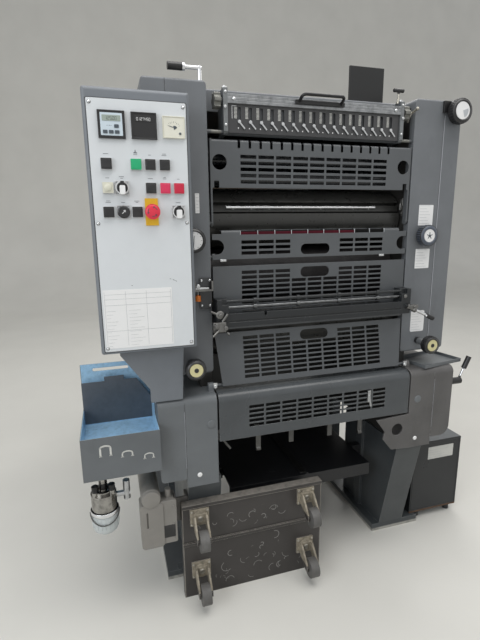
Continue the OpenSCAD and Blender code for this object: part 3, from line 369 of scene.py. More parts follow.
# %% [markdown]
# ## Bare metal
# Ground cylinders, turned knobs and plated levers are all metal, and they differ in how their surface
# was cut. A brushed piece has grooves along one way only, so its bump is a noise that is stretched a
# hundredfold along X. Chrome has almost no bump, only a little haze and finger marks.

# %% Bare metal
def metal(name, colour, roughness, groove=(1, 1, 1), groove_depth=0.0, spots=0.3, edge=0.0009):
    """Bare metal with grooves in one direction and dull spots."""
    material, tree, shader = new_material(name)
    where = place(tree)
    rounded = soft_edges(tree, edge)[0]
    haze = cloud(tree, where, 38, 5, 0.6)
    tarnish = times(tree, mask(tree, haze, 0.45, 0.75), spots)
    tree.links.new(mix(tree, tarnish, colour, shade(colour, 0.55)), shader.inputs["Base Color"])
    gloss = spread(tree, haze, max(0.04, roughness - 0.06), roughness + 0.12)
    tree.links.new(gloss, shader.inputs["Roughness"])
    shader.inputs["Metallic"].default_value = 1.0
    grooves = cloud(tree, place(tree, groove), 60, 3, 0.6)
    set_bump(tree, shader, grooves, groove_depth, 0.0003, rounded)
    return material


ALONG_X = (0.05, 6.0, 6.0)
finish["chrome"] = metal("lever_chrome", (0.72, 0.73, 0.75), 0.12, spots=0.15)
finish["steel"] = metal("bright_steel", (0.56, 0.57, 0.58), 0.28, ALONG_X, 0.25)
finish["zinc"] = metal("zinc_plate", (0.45, 0.43, 0.38), 0.45, spots=0.7)
finish["table_metal"] = metal("table_metal", (0.10, 0.10, 0.10), 0.38, spots=0.6)
finish["dull_steel"] = metal("dull_steel", (0.105, 0.105, 0.102), 0.44, spots=0.6)
finish["cast"] = metal("cast_metal", (0.20, 0.198, 0.192), 0.36, groove_depth=0.2, spots=0.9)
print("metals: chrome, steel, zinc, dull steel and cast metal")

# %% [markdown]
# ## Rubber, plastic, glass and wood
# These are the small parts of the palette. Rubber is dull and a little dusty, and moulded plastic is
# smooth with a soft sheen. One recipe serves both; the table gives each its colour, roughness and dust.

# %% Rubber and plastic
def moulded(name, colour, roughness=0.32, dust=0.2, grain=0.05, edge=0.0008):
    """Plastic or rubber with a fine skin and dust in its hollows."""
    material, tree, shader = new_material(name)
    where = place(tree)
    rounded = soft_edges(tree, edge)[0]
    dusty = times(tree, mask(tree, cloud(tree, where, 30, 5, 0.6), 0.45, 0.8), dust)
    dust_colour = tuple(0.6 * c + 0.12 for c in colour)
    tree.links.new(mix(tree, dusty, colour, dust_colour), shader.inputs["Base Color"])
    gloss = spread(tree, cloud(tree, where, 45, 4), roughness - 0.05, roughness + 0.12)
    tree.links.new(gloss, shader.inputs["Roughness"])
    set_bump(tree, shader, cloud(tree, where, 900, 2), grain, 0.0003, rounded)
    return material


MOULDED = {
    "panel": ("panel_white", (0.62, 0.645, 0.665), 0.38, 0.15),
    "black_plastic": ("black_plastic", (0.012, 0.012, 0.013), 0.30),
    "grey_plastic": ("grey_plastic", (0.60, 0.605, 0.61), 0.36),
    "mark_grey": ("mark_grey", (0.13, 0.14, 0.15), 0.50, 0.1),
    "stop_red": ("stop_red", (0.66, 0.028, 0.060), 0.30, 0.08),
    "red": ("red_plastic", (0.52, 0.012, 0.045), 0.26, 0.08),
    "pink": ("pink_plastic", (0.62, 0.030, 0.095), 0.30, 0.08),
    "green": ("green_plastic", (0.010, 0.36, 0.150), 0.28, 0.08),
    "cream": ("cream_plastic", (0.62, 0.61, 0.51), 0.34, 0.15),
    "dial_cream": ("dial_cream", (0.60, 0.55, 0.30), 0.34, 0.15),
    "white": ("white_plastic", (0.76, 0.76, 0.76), 0.36, 0.12),
    "display_blue": ("display_blue", (0.54, 0.62, 0.68), 0.40, 0.1),
    "display_green": ("display_green", (0.30, 0.35, 0.31), 0.22, 0.05),
    "slate": ("slate_plastic", (0.055, 0.070, 0.085), 0.40, 0.15),
    "rim_blue": ("rim_blue", (0.060, 0.073, 0.098), 0.34, 0.25),
    "card_grey": ("card_grey", (0.42, 0.44, 0.46), 0.60, 0.1),
    "painted_seam_highlight": ("painted_seam_highlight", (0.33, 0.34, 0.37), 0.30, 0.3),
    "scuff_grey": ("scuff_grey", (0.20, 0.195, 0.185), 0.45, 0.6),
    "worn_white": ("worn_white", (0.56, 0.56, 0.53), 0.45, 0.5),
    "roller": ("roller_rubber", (0.011, 0.013, 0.016), 0.22, 0.1),
    "blanket": ("blanket_rubber", (0.011, 0.009, 0.010), 0.50, 0.15),
    # The drums are near black as painted shade inside the bay.
    "dark_drum": ("dark_drum", (0.024, 0.024, 0.022), 0.26, 0.05),
    "tyre": ("caster_rubber", (0.085, 0.082, 0.078), 0.55, 0.6, 0.15),
}
for finish_name, recipe in MOULDED.items():
    finish[finish_name] = moulded(*recipe)
print("moulded finishes:", len(MOULDED))

# %% [markdown]
# The filter bowl is thick glass with a milky film, and the feed board is a varnished ply whose grain is
# a stretched noise folded back and forth into rings.

# %% Glass and wood
def clouded_glass(name):
    """Thick glass with a milky film."""
    material, tree, shader = new_material(name)
    film = cloud(tree, place(tree), 24, 4)
    tree.links.new(mix(tree, film, (0.80, 0.85, 0.86), (0.62, 0.66, 0.66)), shader.inputs["Base Color"])
    shader.inputs["Roughness"].default_value = 0.18
    shader.inputs["Transmission Weight"].default_value = 0.35
    shader.inputs["IOR"].default_value = 1.45
    return material


def varnished_ply(name):
    """Wood whose grain runs along Y."""
    material, tree, shader = new_material(name)
    grain = cloud(tree, place(tree, (14.0, 0.7, 14.0)), 6, 6, 0.6)
    rings = add(tree, "ShaderNodeMath", {"operation": "PINGPONG"}, i0=grain, i1=0.08).outputs[0]
    lines = mask(tree, rings, 0.0, 0.08)
    tree.links.new(mix(tree, lines, (0.33, 0.20, 0.10), (0.46, 0.31, 0.17)), shader.inputs["Base Color"])
    shader.inputs["Roughness"].default_value = 0.38
    set_bump(tree, shader, lines, 0.08, 0.0005)
    return material


finish["glass"] = clouded_glass("bowl_glass")
finish["wood"] = varnished_ply("board_ply")
print("finishes in all:", len(finish))

# %% [markdown]
# ## One casting, two finishes
# A lever is one solid here, yet its rod is plated and its grip is black plastic. The solid's mesh
# stays as it was packed, so a second finish is laid on by place: a box in the builder's millimetres
# says where it holds, and the material blends colour, gloss and metal across that box's faces. The
# box is fixed to the solid, so the finish moves with it.

# %% A finish inside a box
def blend_into(tree, socket, value, inside):
    """Takes what a socket has now, and puts a new value in its place inside a mask."""
    before = socket.links[0].from_socket if socket.is_linked else socket.default_value
    if socket.type == "RGBA":
        before = before if isinstance(before, bpy.types.NodeSocket) else tuple(before)
        tree.links.new(mix(tree, inside, before, value), socket)
    else:
        tree.links.new(spread(tree, inside, before, value), socket)


def patch(material, low, high, colour, roughness=0.34, metallic=0.0, dirt=0.3, shine=PAINT_SHINE):
    """Another finish inside a box, given by its two corners in millimetres."""
    tree = material.node_tree
    shader = tree.nodes["Principled BSDF"]
    where = place(tree)
    middle, reach = (at(*low) + at(*high)) / 2, (at(*high) - at(*low)) / 2
    offset = add(tree, "ShaderNodeVectorMath", {"operation": "SUBTRACT"}, i0=where, i1=middle).outputs[0]
    span = add(tree, "ShaderNodeVectorMath", {"operation": "ABSOLUTE"}, i0=offset).outputs[0]
    beyond = add(tree, "ShaderNodeVectorMath", {"operation": "SUBTRACT"}, i0=span, i1=reach).outputs[0]
    x, y, z = add(tree, "ShaderNodeSeparateXYZ", Vector=beyond).outputs
    farther = add(tree, "ShaderNodeMath", {"operation": "MAXIMUM"}, i0=x, i1=y).outputs[0]
    farthest = add(tree, "ShaderNodeMath", {"operation": "MAXIMUM"}, i0=farther, i1=z).outputs[0]
    inside = mask(tree, farthest, 0.0001, -0.0001)
    specks = times(tree, mask(tree, cloud(tree, where, 60, 5, 0.6), 0.42, 0.75), dirt)
    blend_into(tree, shader.inputs["Base Color"], mix(tree, specks, colour, shade(colour, 0.4)), inside)
    blend_into(tree, shader.inputs["Roughness"], roughness, inside)
    blend_into(tree, shader.inputs["Metallic"], metallic, inside)
    if shine != PAINT_SHINE:
        blend_into(tree, shader.inputs["Specular IOR Level"], shine, inside)


BLACK = {"colour": (0.012, 0.012, 0.013), "roughness": 0.32, "dirt": 0.1}
CHROME = {"colour": (0.70, 0.71, 0.73), "roughness": 0.16, "metallic": 1.0, "dirt": 0.2}
STEEL = {"colour": (0.46, 0.47, 0.48), "roughness": 0.32, "metallic": 1.0, "dirt": 0.4}
DARK_GREY = {"colour": (0.050, 0.052, 0.055), "roughness": 0.36, "dirt": 0.4}
RAIL_STEEL = {"colour": (0.30, 0.31, 0.32), "roughness": 0.34, "metallic": 1.0, "dirt": 0.8}
BAR_STEEL = {"colour": (0.17, 0.175, 0.18), "roughness": 0.28, "metallic": 1.0, "dirt": 0.9}
print("looks for patches: black, chrome, steel, dark grey, rail and bar steel")

# %% [markdown]
# ## Which solid gets which finish
# A solid's object keeps its mesh, and only its material slot is filled. The table below is the paint
# plan of the machine, grouped as a sprayer would group the parts.

# %% Paint plan
paint_plan = {
    "tower": ["tower_left", "tower_right", "top_cover", "rear_cover"],
    "cover": ["cheek_left", "feeder_frames"],
    "cheek": ["cheek_right"],
    "hood": ["delivery_hood"],
    # The side frames are near black as painted shade of the bay's inner walls.
    "frames": ["side_frames"],
    "guard": ["lower_guard", "blanket_guard", "plate_guard", "upper_guard", "ink_fountain"],
    "fountain": ["key_plate"],
    "console": ["console_box"],
    "panel": ["console_panel"],
    "legs": ["base_feet"],
    "black": ["upright_plate", "cross_members"],
    "table": ["delivery_table"],
    "tray": ["tool_tray", "loose_tray"],
    "cabinet": ["control_cabinet", "imprint_bar"],
    "pump": ["pump_unit", "feeder_head"],
    "trolley": ["pile_trolley"],
    "steel": ["ink_keys"],
    "dull_steel": ["sheet_stops"],
    # Both cylinders are near black as painted shade inside the bay.
    "dark_drum": ["plate_cylinder", "impression_cylinder"],
    "blanket": ["blanket_cylinder"],
    "roller": ["ink_rollers"],
    "stop_red": ["emergency_stop"],
    "grey_plastic": ["console_controls"],
    "black_plastic": ["selector_upper", "selector_lower", "dial_top_right", "dial_mid_right", "dial_mid_left",
                      "hand_knob_right", "hand_knob_left"],
    "cast": ["register_bracket"],
    "chrome": ["top_lever", "side_lever"],
    "tyre": ["caster_wheel_1", "caster_wheel_2", "caster_wheel_3", "caster_wheel_4"],
    "glass": ["filter_bowl"],
    "wood": ["feed_board", "feeder_pile_board"],
}
for finish_name, names in paint_plan.items():
    for node_name in names:
        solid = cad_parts[node_name]
        solid.data.materials.clear()
        solid.data.materials.append(finish[finish_name])
unpainted = sorted(set(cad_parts) - {n for names in paint_plan.values() for n in names})
print("solids without a finish:", unpainted)

# %% [markdown]
# ## Second finishes
# Now the boxes for the solids that carry two or three finishes. Where it can be, a place is read from
# the solid itself, so it follows if a size changes: the grip is the far end of the lever, the stem is
# the back of the knob, and the tray is blue only between its walls.

# %% Levers, knob and tray
def repaint(node_name, finish_name, *boxes):
    """Gives one solid its own copy of a finish, with patches on it."""
    own = finish[finish_name].copy()
    own.name = node_name + "_paint"
    for low, high, look in boxes:
        patch(own, low, high, **look)
    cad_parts[node_name].data.materials[0] = own


def around(node_name, low=(0, 0, 0), high=(1, 1, 1)):
    """A box inside a solid's own box, given as shares from its low to its high corner."""
    a, b = corners_of(node_name)
    inner = [Vector([a[k] + (b[k] - a[k]) * share[k] for k in range(3)]) for share in (low, high)]
    grow = Vector((1, 1, 1))
    return inner[0] - grow, inner[1] + grow


repaint("top_lever", "chrome", (*around("top_lever", high=(0.42, 1, 1)), BLACK))
repaint("side_lever", "chrome", (*around("side_lever", low=(0, 0, 0.55)), BLACK),
        (*around("side_lever", high=(1, 1, 0.28)), BLACK))
repaint("hand_knob_right", "black_plastic",
        (*around("hand_knob_right", low=(0, 0.4, 0), high=(1, 0.84, 1)), STEEL))
TRAY_BLUE = {"colour": (0.330, 0.550, 0.760), "roughness": 0.36, "dirt": 0.5}
TRAY_BACK = {"colour": (0.082, 0.096, 0.114), "roughness": 0.36, "dirt": 0.3}
TRAY_SHEET = 1.5
lip, wall = corners_of("tool_tray")
inner_left, inner_right = lip.x + TRAY_SHEET, wall.x - TRAY_SHEET
repaint("tool_tray", "tray",
        ((inner_left, lip.y + TRAY_SHEET, 560), (inner_right, wall.y - TRAY_SHEET, 900), TRAY_BLUE),
        ((inner_left, wall.y - 26, 578), (inner_right, wall.y - 20, 900), TRAY_BACK))
print("levers, one knob's stem and the tray")

# %% [markdown]
# The ink fountain is painted like the guards, but its key plate is darker and ends in a bright ground
# rail with a black handle over it. The star knobs at its ends and the two end bars are bare metal. The
# imprint bar below carries a bright slide, and the lever at its right end is plated with a black grip.

# %% Fountain, imprint bar and register bracket
STAR_METAL = {"colour": (0.19, 0.19, 0.175), "roughness": 0.42, "metallic": 0.6, "dirt": 0.6}
BAR_METAL = {"colour": (0.185, 0.195, 0.20), "roughness": 0.34, "metallic": 0.4, "dirt": 0.4}
ORANGE = {"colour": (0.62, 0.17, 0.02), "roughness": 0.34, "dirt": 0.3}
key_top = high_of("ink_fountain").z - 14
repaint("key_plate", "fountain", ((-290, -7, key_top - 24), (290, 10, key_top + 1), RAIL_STEEL),
        ((-90, -60, key_top - 30), (90, -6.3, key_top + 60), BLACK))
STAR_IN, STAR_OUT = 293, 322
BAR_IN, BAR_OUT = 275.5, 288.5
repaint("ink_fountain", "guard",
        ((-STAR_OUT, -40, 1400), (-STAR_IN, 60, 1600), STAR_METAL),
        ((STAR_IN, -40, 1400), (STAR_OUT, 60, 1600), STAR_METAL),
        ((-BAR_OUT, -7, 1400), (-BAR_IN, 0, 1600), BAR_METAL),
        ((BAR_IN, -7, 1400), (BAR_OUT, 0, 1600), BAR_METAL))
bar_top = high_of("imprint_bar").z
LEVER_FROM, GRIP_FROM = 328.5, 390
repaint("imprint_bar", "cabinet",
        ((-293, -46, bar_top - 34), (293, -10, bar_top - 17), BAR_STEEL),
        ((LEVER_FROM, -70, bar_top - 140), (GRIP_FROM, 0, bar_top), CHROME),
        ((GRIP_FROM, -70, bar_top - 140), (440, 0, bar_top), BLACK))
clip = low_of("register_bracket")
repaint("register_bracket", "cast",
        ((clip.x - 1, -5.6, clip.z - 1), (clip.x + 70, 1, clip.z + 100), DARK_GREY),
        ((clip.x - 1, clip.y - 1, clip.z + 20), (clip.x + 24, -6.5, clip.z + 45), ORANGE))
print("fountain, imprint bar and register bracket")

# %% [markdown]
# The plate guard's upper edge is a row of cells: in most of them dark red rubber shows, while the last
# two and the strip above the cells are painted black as the shade inside the bay. The hood has one
# bright latch, the block behind the top right dial is black, and the floor plates are rubbed to a pale
# edge by shoes and pallets.

# %% Guard cells, hood latch, dial block, feet and feeder head
CELL_LEFT, CELL_RED_END, CELL_RIGHT = -243, 135, 243
LIP_RED = {"colour": (0.055, 0.004, 0.010), "roughness": 0.6, "dirt": 0.4, "shine": 0.1}
# Painted shade: black where the bay's dark inside shows above and beside the red cells.
PAINTED_BAY_SHADE = {"colour": (0.006, 0.006, 0.006), "roughness": 0.7, "dirt": 0.2, "shine": 0.05}
FOOT_EDGE = {"colour": (0.36, 0.35, 0.32), "roughness": 0.45, "dirt": 0.9}
plate_top = high_of("plate_guard").z
repaint("plate_guard", "guard",
        ((CELL_LEFT, -1, plate_top - 13), (CELL_RED_END, 8, plate_top - 5), LIP_RED),
        ((CELL_RED_END, -1, plate_top - 13), (CELL_RIGHT, 8, plate_top - 5), PAINTED_BAY_SHADE),
        ((CELL_LEFT, -1, plate_top - 5), (CELL_RIGHT, 8, plate_top - 0.5), PAINTED_BAY_SHADE))
hood = low_of("delivery_hood")
repaint("delivery_hood", "hood", ((165, hood.y - 1, 580), (190, -62.4, 680), STEEL))
repaint("tower_right", "tower", ((340, -9, 1500), (508, -0.4, 1560), BLACK))
foot_low, foot_high = corners_of("base_feet")
repaint("base_feet", "legs",
        ((foot_low.x - 1, foot_low.y - 1, -1), (foot_high.x + 1, foot_high.y + 1, 11), FOOT_EDGE))
CUP_TOP, STEM_TOP = 985, 1039
repaint("feeder_head", "pump",
        ((-110, 1200, 960), (110, 1400, CUP_TOP), {**BLACK, "roughness": 0.6}),
        ((-110, 1200, CUP_TOP), (110, 1400, STEM_TOP), CHROME))
print("second finishes on", sum(m.name.endswith("_paint") for m in bpy.data.materials), "solids")

# %% [markdown]
# The instruments and push buttons are one solid of grey bezels. The display and the counter have black
# cases, the meter a cream one, and the emergency stop sits on a yellow plate, as machine rules ask.

# %% Console controls
panel_low, panel_high = corners_of("console_panel")
face_y, panel_z = panel_low.y, panel_low.z
panel_x = (panel_low.x + panel_high.x) / 2
panel_h = panel_high.z - panel_z
panel_w = panel_high.x - panel_low.x
INSTRUMENT_Z = panel_h - 57
ROW_Z = [panel_h - 145, panel_h - 200, panel_h - 257]
STOP_X = 21


def panel_box(u, v, width, height):
    """A box on the panel round a place that is counted from its middle and its lower edge."""
    return ((panel_x + u - width / 2, face_y - 12, panel_z + v - height / 2),
            (panel_x + u + width / 2, face_y + 1, panel_z + v + height / 2))


YELLOW = {"colour": (0.70, 0.42, 0.015), "roughness": 0.4, "dirt": 0.15}
METER = {"colour": (0.70, 0.69, 0.60), "roughness": 0.35, "dirt": 0.1}
repaint("console_controls", "grey_plastic", (*panel_box(-62, INSTRUMENT_Z, 63, 63), BLACK),
        (*panel_box(13, INSTRUMENT_Z, 61, 61), BLACK), (*panel_box(84, INSTRUMENT_Z, 55, 51), METER),
        (*panel_box(STOP_X, ROW_Z[2], 33, 67), YELLOW))
print("panel middle", round(panel_x, 1), "face", round(face_y, 1), "height", round(panel_h, 1))

# %% [markdown]
# ## Making small things
# The fine pieces are built in mesh code, in millimetres, with tools that a model maker would know. The
# first three are a block with broken edges, a turned piece and a rod. A bevel on each edge matters more
# than its size suggests, because a perfectly sharp edge catches no light and looks like paper. Flat
# faces stay flat-shaded and only round ones are smooth, so a large lid shows no false shading.

# %% Blocks, turned pieces and rods
OUT = (0, -1, 0)  # towards the viewer


def block(shape, low, high, soft=0.6):
    """A box with broken edges."""
    corners = bmesh.ops.create_cube(shape, size=1.0)["verts"]
    size = Vector(high) - Vector(low)
    bmesh.ops.scale(shape, vec=size, verts=corners)
    bmesh.ops.translate(shape, vec=(Vector(low) + Vector(high)) / 2, verts=corners)
    edges = list({edge for corner in corners for edge in corner.link_edges})
    soft = min(soft, 0.3 * min(size))
    broken = bmesh.ops.bevel(shape, geom=edges, offset=soft, segments=2, profile=0.5, affect="EDGES")
    shape.normal_update()
    for face in broken["faces"]:
        face.smooth = max(abs(c) for c in face.normal) < 0.999


def turned(shape, centre, axis, profile, sides=28):
    """A piece turned on a lathe; the profile lists how far along the axis and how far out."""
    axis = Vector(axis).normalized()
    across = axis.orthogonal().normalized()
    other = axis.cross(across)
    spokes = [across * cos(2 * pi * k / sides) + other * sin(2 * pi * k / sides) for k in range(sides)]
    rings = [[shape.verts.new(Vector(centre) + axis * along + radius * spoke) for spoke in spokes]
             for along, radius in profile]
    for a, b in zip(rings, rings[1:]):
        for k in range(sides):
            n = (k + 1) % sides
            shape.faces.new((a[k], a[n], b[n], b[k])).smooth = True
    shape.faces.new(rings[0][::-1])
    shape.faces.new(rings[-1])


def rod(shape, start, end, radius, soft=0.6, sides=16):
    """A rod with broken ends."""
    way = Vector(end) - Vector(start)
    length = way.length
    soft = min(soft, 0.4 * radius)
    profile = [(0, radius - soft), (soft, radius), (length - soft, radius), (length, radius - soft)]
    turned(shape, start, way, profile, sides)


print("tools: block, turned, rod")

# %% [markdown]
# The next tools work in the plane of X and Z, the way a sheet-metal worker does: a plate is cut to an
# outline, and a stroke is a very thin plate for a printed line or a pointer. Arcs and round corners
# give their outlines.

# %% Plates, strokes and outlines
def plate(shape, outline, y_back, y_front, soft=0.5):
    """A plate cut to an outline of X and Z, whose front edges are broken."""
    back = [shape.verts.new((x, y_back, z)) for x, z in outline]
    front = [shape.verts.new((x, y_front, z)) for x, z in outline]
    shape.faces.new(back)
    lid = shape.faces.new(front[::-1])
    for k in range(len(outline)):
        n = (k + 1) % len(outline)
        shape.faces.new((back[n], back[k], front[k], front[n])).smooth = True
    if soft:
        broken = bmesh.ops.bevel(shape, geom=list(lid.edges), offset=soft, segments=2, profile=0.5,
                                 affect="EDGES")
        shape.normal_update()
        for face in broken["faces"]:
            face.smooth = abs(face.normal.y) < 0.999


def stroke(shape, a, b, width, y, thick=0.4):
    """A straight line from a to b in the plane of X and Z, as a thin raised bar."""
    a, b = Vector(a), Vector(b)
    side_way = (b - a).normalized().orthogonal() * width / 2
    corners = [a + side_way, b + side_way, b - side_way, a - side_way]
    plate(shape, [(c.x, c.y) for c in corners], y, y - thick, 0)


def arc_points(x, z, radius, start, end, steps=10):
    """Points on an arc in the plane of X and Z; the angles are in degrees from +X."""
    turns = [radians(start + (end - start) * k / steps) for k in range(steps + 1)]
    return [(x + radius * cos(t), z + radius * sin(t)) for t in turns]


def rounded(x0, z0, x1, z1, radius):
    """Outline of a rectangle with round corners."""
    corners = ((x1 - radius, z1 - radius), (x0 + radius, z1 - radius), (x0 + radius, z0 + radius),
               (x1 - radius, z0 + radius))
    return [point for k, (x, z) in enumerate(corners)
            for point in arc_points(x, z, radius, 90 * k, 90 * k + 90, 5)]


print("tools: plate, stroke, arc_points, rounded")

# %% [markdown]
# Frames of four bars and domed screws come again and again, so they have tools of their own. The last
# tool finishes a piece: it carries the shape into the machine's frame, gives it its finish, and says on
# which body it rides.

# %% Borders, screws and finished pieces
def border(shape, x, z, half_w, half_h, bar, y_front, y_back, soft=0.4):
    """Four bars round a middle, as a frame or a bezel."""
    for side_sign in (-1, 1):
        bar_x, bar_z = x + side_sign * (half_w - bar / 2), z + side_sign * (half_h - bar / 2)
        block(shape, (x - half_w, y_front, bar_z - bar / 2), (x + half_w, y_back, bar_z + bar / 2), soft)
        block(shape, (bar_x - bar / 2, y_front, z - half_h + bar), (bar_x + bar / 2, y_back, z + half_h - bar),
              soft)


def screw(shape, centre, axis, radius):
    """A domed screw head."""
    turned(shape, centre, axis, [(-0.5, radius), (0.35 * radius, radius), (0.6 * radius, 0.75 * radius),
                                 (0.72 * radius, 0.3 * radius)], 18)


SHARP_ANGLE = radians(38)
made_pieces = []


def finish_piece(name, shape, finish_name, body="press"):
    """Puts a shape into the machine's frame, paints it and lets it ride on a body."""
    bmesh.ops.recalc_face_normals(shape, faces=shape.faces)
    for corner in shape.verts:
        corner.co = at(*corner.co)
    smooth = [face.smooth for face in shape.faces]
    mesh = bpy.data.meshes.new(name)
    shape.to_mesh(mesh)
    shape.free()
    mesh.set_sharp_from_angle(angle=SHARP_ANGLE)
    mesh.polygons.foreach_set("use_smooth", smooth)
    piece = bpy.data.objects.new(name, mesh)
    bpy.context.scene.collection.objects.link(piece)
    mesh.materials.append(finish[finish_name])
    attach(piece, body)
    made_pieces.append(name)


print("tools: border, screw, finish_piece")

# %% [markdown]
# ## The console's face
# The panel is held by domed screws, and the thin black frame round it is painted shade: the dark gap
# where the panel stands proud of the box. Its push buttons are square caps that stand a little proud of
# their bezels, with a soft pillow face, so that a fingertip finds the middle. Each colour is one piece,
# since one finish goes to one mesh.

# %% Panel screws and button caps
def spot(u, v, out=0.0):
    """A point on the panel, counted from its middle and its lower edge, and standing out by some mm."""
    return (panel_x + u, face_y - out, panel_z + v)


screws, washers_and_shade_frame = bmesh.new(), bmesh.new()
for u in (-109, 109):
    for v in (9, 325, panel_h - 9):
        screw(screws, spot(u, v, 0.4), OUT, 3.3)
        turned(washers_and_shade_frame, spot(u, v), OUT, [(-0.2, 4.4), (0.4, 4.2), (0.6, 3.6)], 24)
finish_piece("panel_screws", screws, "steel")
# The black bars below are painted shade: the dark gap along the panel's edge, built behind the panel.
SHADE_FRAME_BAR = 3.2
shade_frame_front, shade_frame_back = face_y + 1.4, face_y + 3.2
half_w, half_h = panel_w / 2 + 0.2, panel_h / 2 + 0.2
centre_z = panel_z + panel_h / 2
for side_sign in (-1, 1):
    x, z = panel_x + side_sign * half_w, centre_z + side_sign * half_h
    block(washers_and_shade_frame, (x - SHADE_FRAME_BAR / 2, shade_frame_front, centre_z - half_h),
          (x + SHADE_FRAME_BAR / 2, shade_frame_back, centre_z + half_h), 0.4)
    block(washers_and_shade_frame, (panel_x - half_w, shade_frame_front, z - SHADE_FRAME_BAR / 2),
          (panel_x + half_w, shade_frame_back, z + SHADE_FRAME_BAR / 2), 0.4)
finish_piece("panel_shade_frame", washers_and_shade_frame, "black_plastic")

CAP_COLOURS = {
    "black_plastic": [(-80, 0), (23, 0), (58, 0), (22, 1), (-82, 2), (-14, 2)],
    "green": [(-11, 0)],
    "pink": [(57, 1)],
    "red": [(91, 1)],
    "cream": [(-80, 1)],
}
CAP_HALF, PILLOW_HALF = 12.4, 9.4
for colour_name, caps in CAP_COLOURS.items():
    shape = bmesh.new()
    for u, row in caps:
        x, y, z = spot(u, ROW_Z[row], 5.5)
        plate(shape, rounded(x - CAP_HALF, z - CAP_HALF, x + CAP_HALF, z + CAP_HALF, 1.4), y, y - 3.2, 1.1)
        plate(shape, rounded(x - PILLOW_HALF, z - PILLOW_HALF, x + PILLOW_HALF, z + PILLOW_HALF, 3.0),
              y - 3.0, y - 3.7, 0.6)
        if colour_name == "cream":
            turned(shape, (x, y - 3.4, z), OUT, [(0, 8.4), (1.6, 8.0), (2.6, 6.0), (3.0, 2.0)])
    finish_piece("caps_" + colour_name, shape, colour_name)
print("button caps:", sum(len(c) for c in CAP_COLOURS.values()))

# %% [markdown]
# The two selectors are black throats in light rings, each with a white toggle that points down, on
# square light bezels. The parts that turn ride on the selector, so the toggle swings as on the real one.

# %% Selectors
bezels = bmesh.new()
for u, row in ((-47, 1), (88, 2), (-47, 2)):
    x, y, z = spot(u, ROW_Z[row])
    border(bezels, x, z, 16.9, 16.9, 2.5, y - 2.2, y - 0.1)
finish_piece("selector_bezels", bezels, "grey_plastic")

for node_name, u, row in (("selector_upper", -47, 1), ("selector_lower", 88, 2)):
    x, y, z = spot(u, ROW_Z[row], 8.3)
    toggle = bmesh.new()
    plate(toggle, rounded(x - 6.5, z - 16, x + 6.5, z + 5, 2.5), y + 0.1, y - 12.6, 1.4)
    finish_piece(node_name + "_toggle", toggle, "white", node_name)
    collar = bmesh.new()
    turned(collar, (x, y - 0.1, z), OUT, [(-0.4, 16.2), (0.8, 16.2), (1.2, 15.8), (1.3, 13.0), (0.1, 12.9)],
           40)
    finish_piece(node_name + "_collar", collar, "grey_plastic", node_name)
    throat = bmesh.new()
    turned(throat, (x, y - 0.2, z), OUT, [(0, 12.9), (2.2, 12.4), (2.8, 11.4), (2.9, 10.0), (1.2, 9.5)], 36)
    finish_piece(node_name + "_throat", throat, "black_plastic", node_name)

print("selectors with toggle, collar and throat: 2")

# %% [markdown]
# The stop's domed head has dark turning arrows, since it is released by a twist. The key switch beside
# it is a turned black barrel with a white arrow that points to the position it stands in.

# %% Emergency stop and key switch
head_low, head_high = corners_of("emergency_stop")
stop_x, stop_z = (head_low.x + head_high.x) / 2, (head_low.z + head_high.z) / 2
stop_head = bmesh.new()
turned(stop_head, (stop_x, head_low.y + 3.0, stop_z), OUT,
       [(0, 18.4), (1.5, 18.0), (3.4, 15.5), (4.6, 11.0), (5.2, 5.5), (5.3, 1.0)], 44)
finish_piece("stop_dome", stop_head, "stop_red", "emergency_stop")
twist = bmesh.new()
arrow_y = head_low.y - 1.4
for start in (20, 140, 260):
    end = start + 62
    bow = arc_points(stop_x, stop_z, 11.2, start, end, 6)
    for a, b in zip(bow, bow[1:]):
        stroke(twist, a, b, 1.5, arrow_y, 0.5)
    tip = Vector(bow[-1])
    for lean in (radians(end - 150), radians(end - 60)):
        stroke(twist, tip, tip + 3.6 * Vector((cos(lean), sin(lean))), 1.3, arrow_y, 0.5)
finish_piece("stop_arrows", twist, "slate", "emergency_stop")
stop_ring = bmesh.new()
turned(stop_ring, (stop_x, face_y - 3.2, stop_z), OUT, [(0, 16.5), (2.0, 16.3), (3.0, 14.5), (3.2, 9)], 40)
finish_piece("stop_ring", stop_ring, "black_plastic")

x, y, z = spot(-47, ROW_Z[2])
key_switch = bmesh.new()
turned(key_switch, (x, y, z), OUT, [(0.1, 15), (7, 15), (8.5, 13.5), (9, 11), (8, 10.5), (8, 4)], 40)
finish_piece("key_switch", key_switch, "black_plastic")
arrow = bmesh.new()
stroke(arrow, (x - 4, z - 4), (x + 3.5, z + 3.5), 1.5, y - 8.2, 0.5)
stroke(arrow, (x + 4.2, z + 4.2), (x - 0.6, z + 3.2), 1.3, y - 8.2, 0.5)
stroke(arrow, (x + 4.2, z + 4.2), (x + 3.2, z - 0.6), 1.3, y - 8.2, 0.5)
finish_piece("key_arrow", arrow, "white")
print("emergency stop and key switch")

# %% [markdown]
# Small generic grey marks stand over the buttons. They are printed on the real machine; here they are
# strokes a few tenths of a millimetre thick, one or two short lines to a button, and no letters.

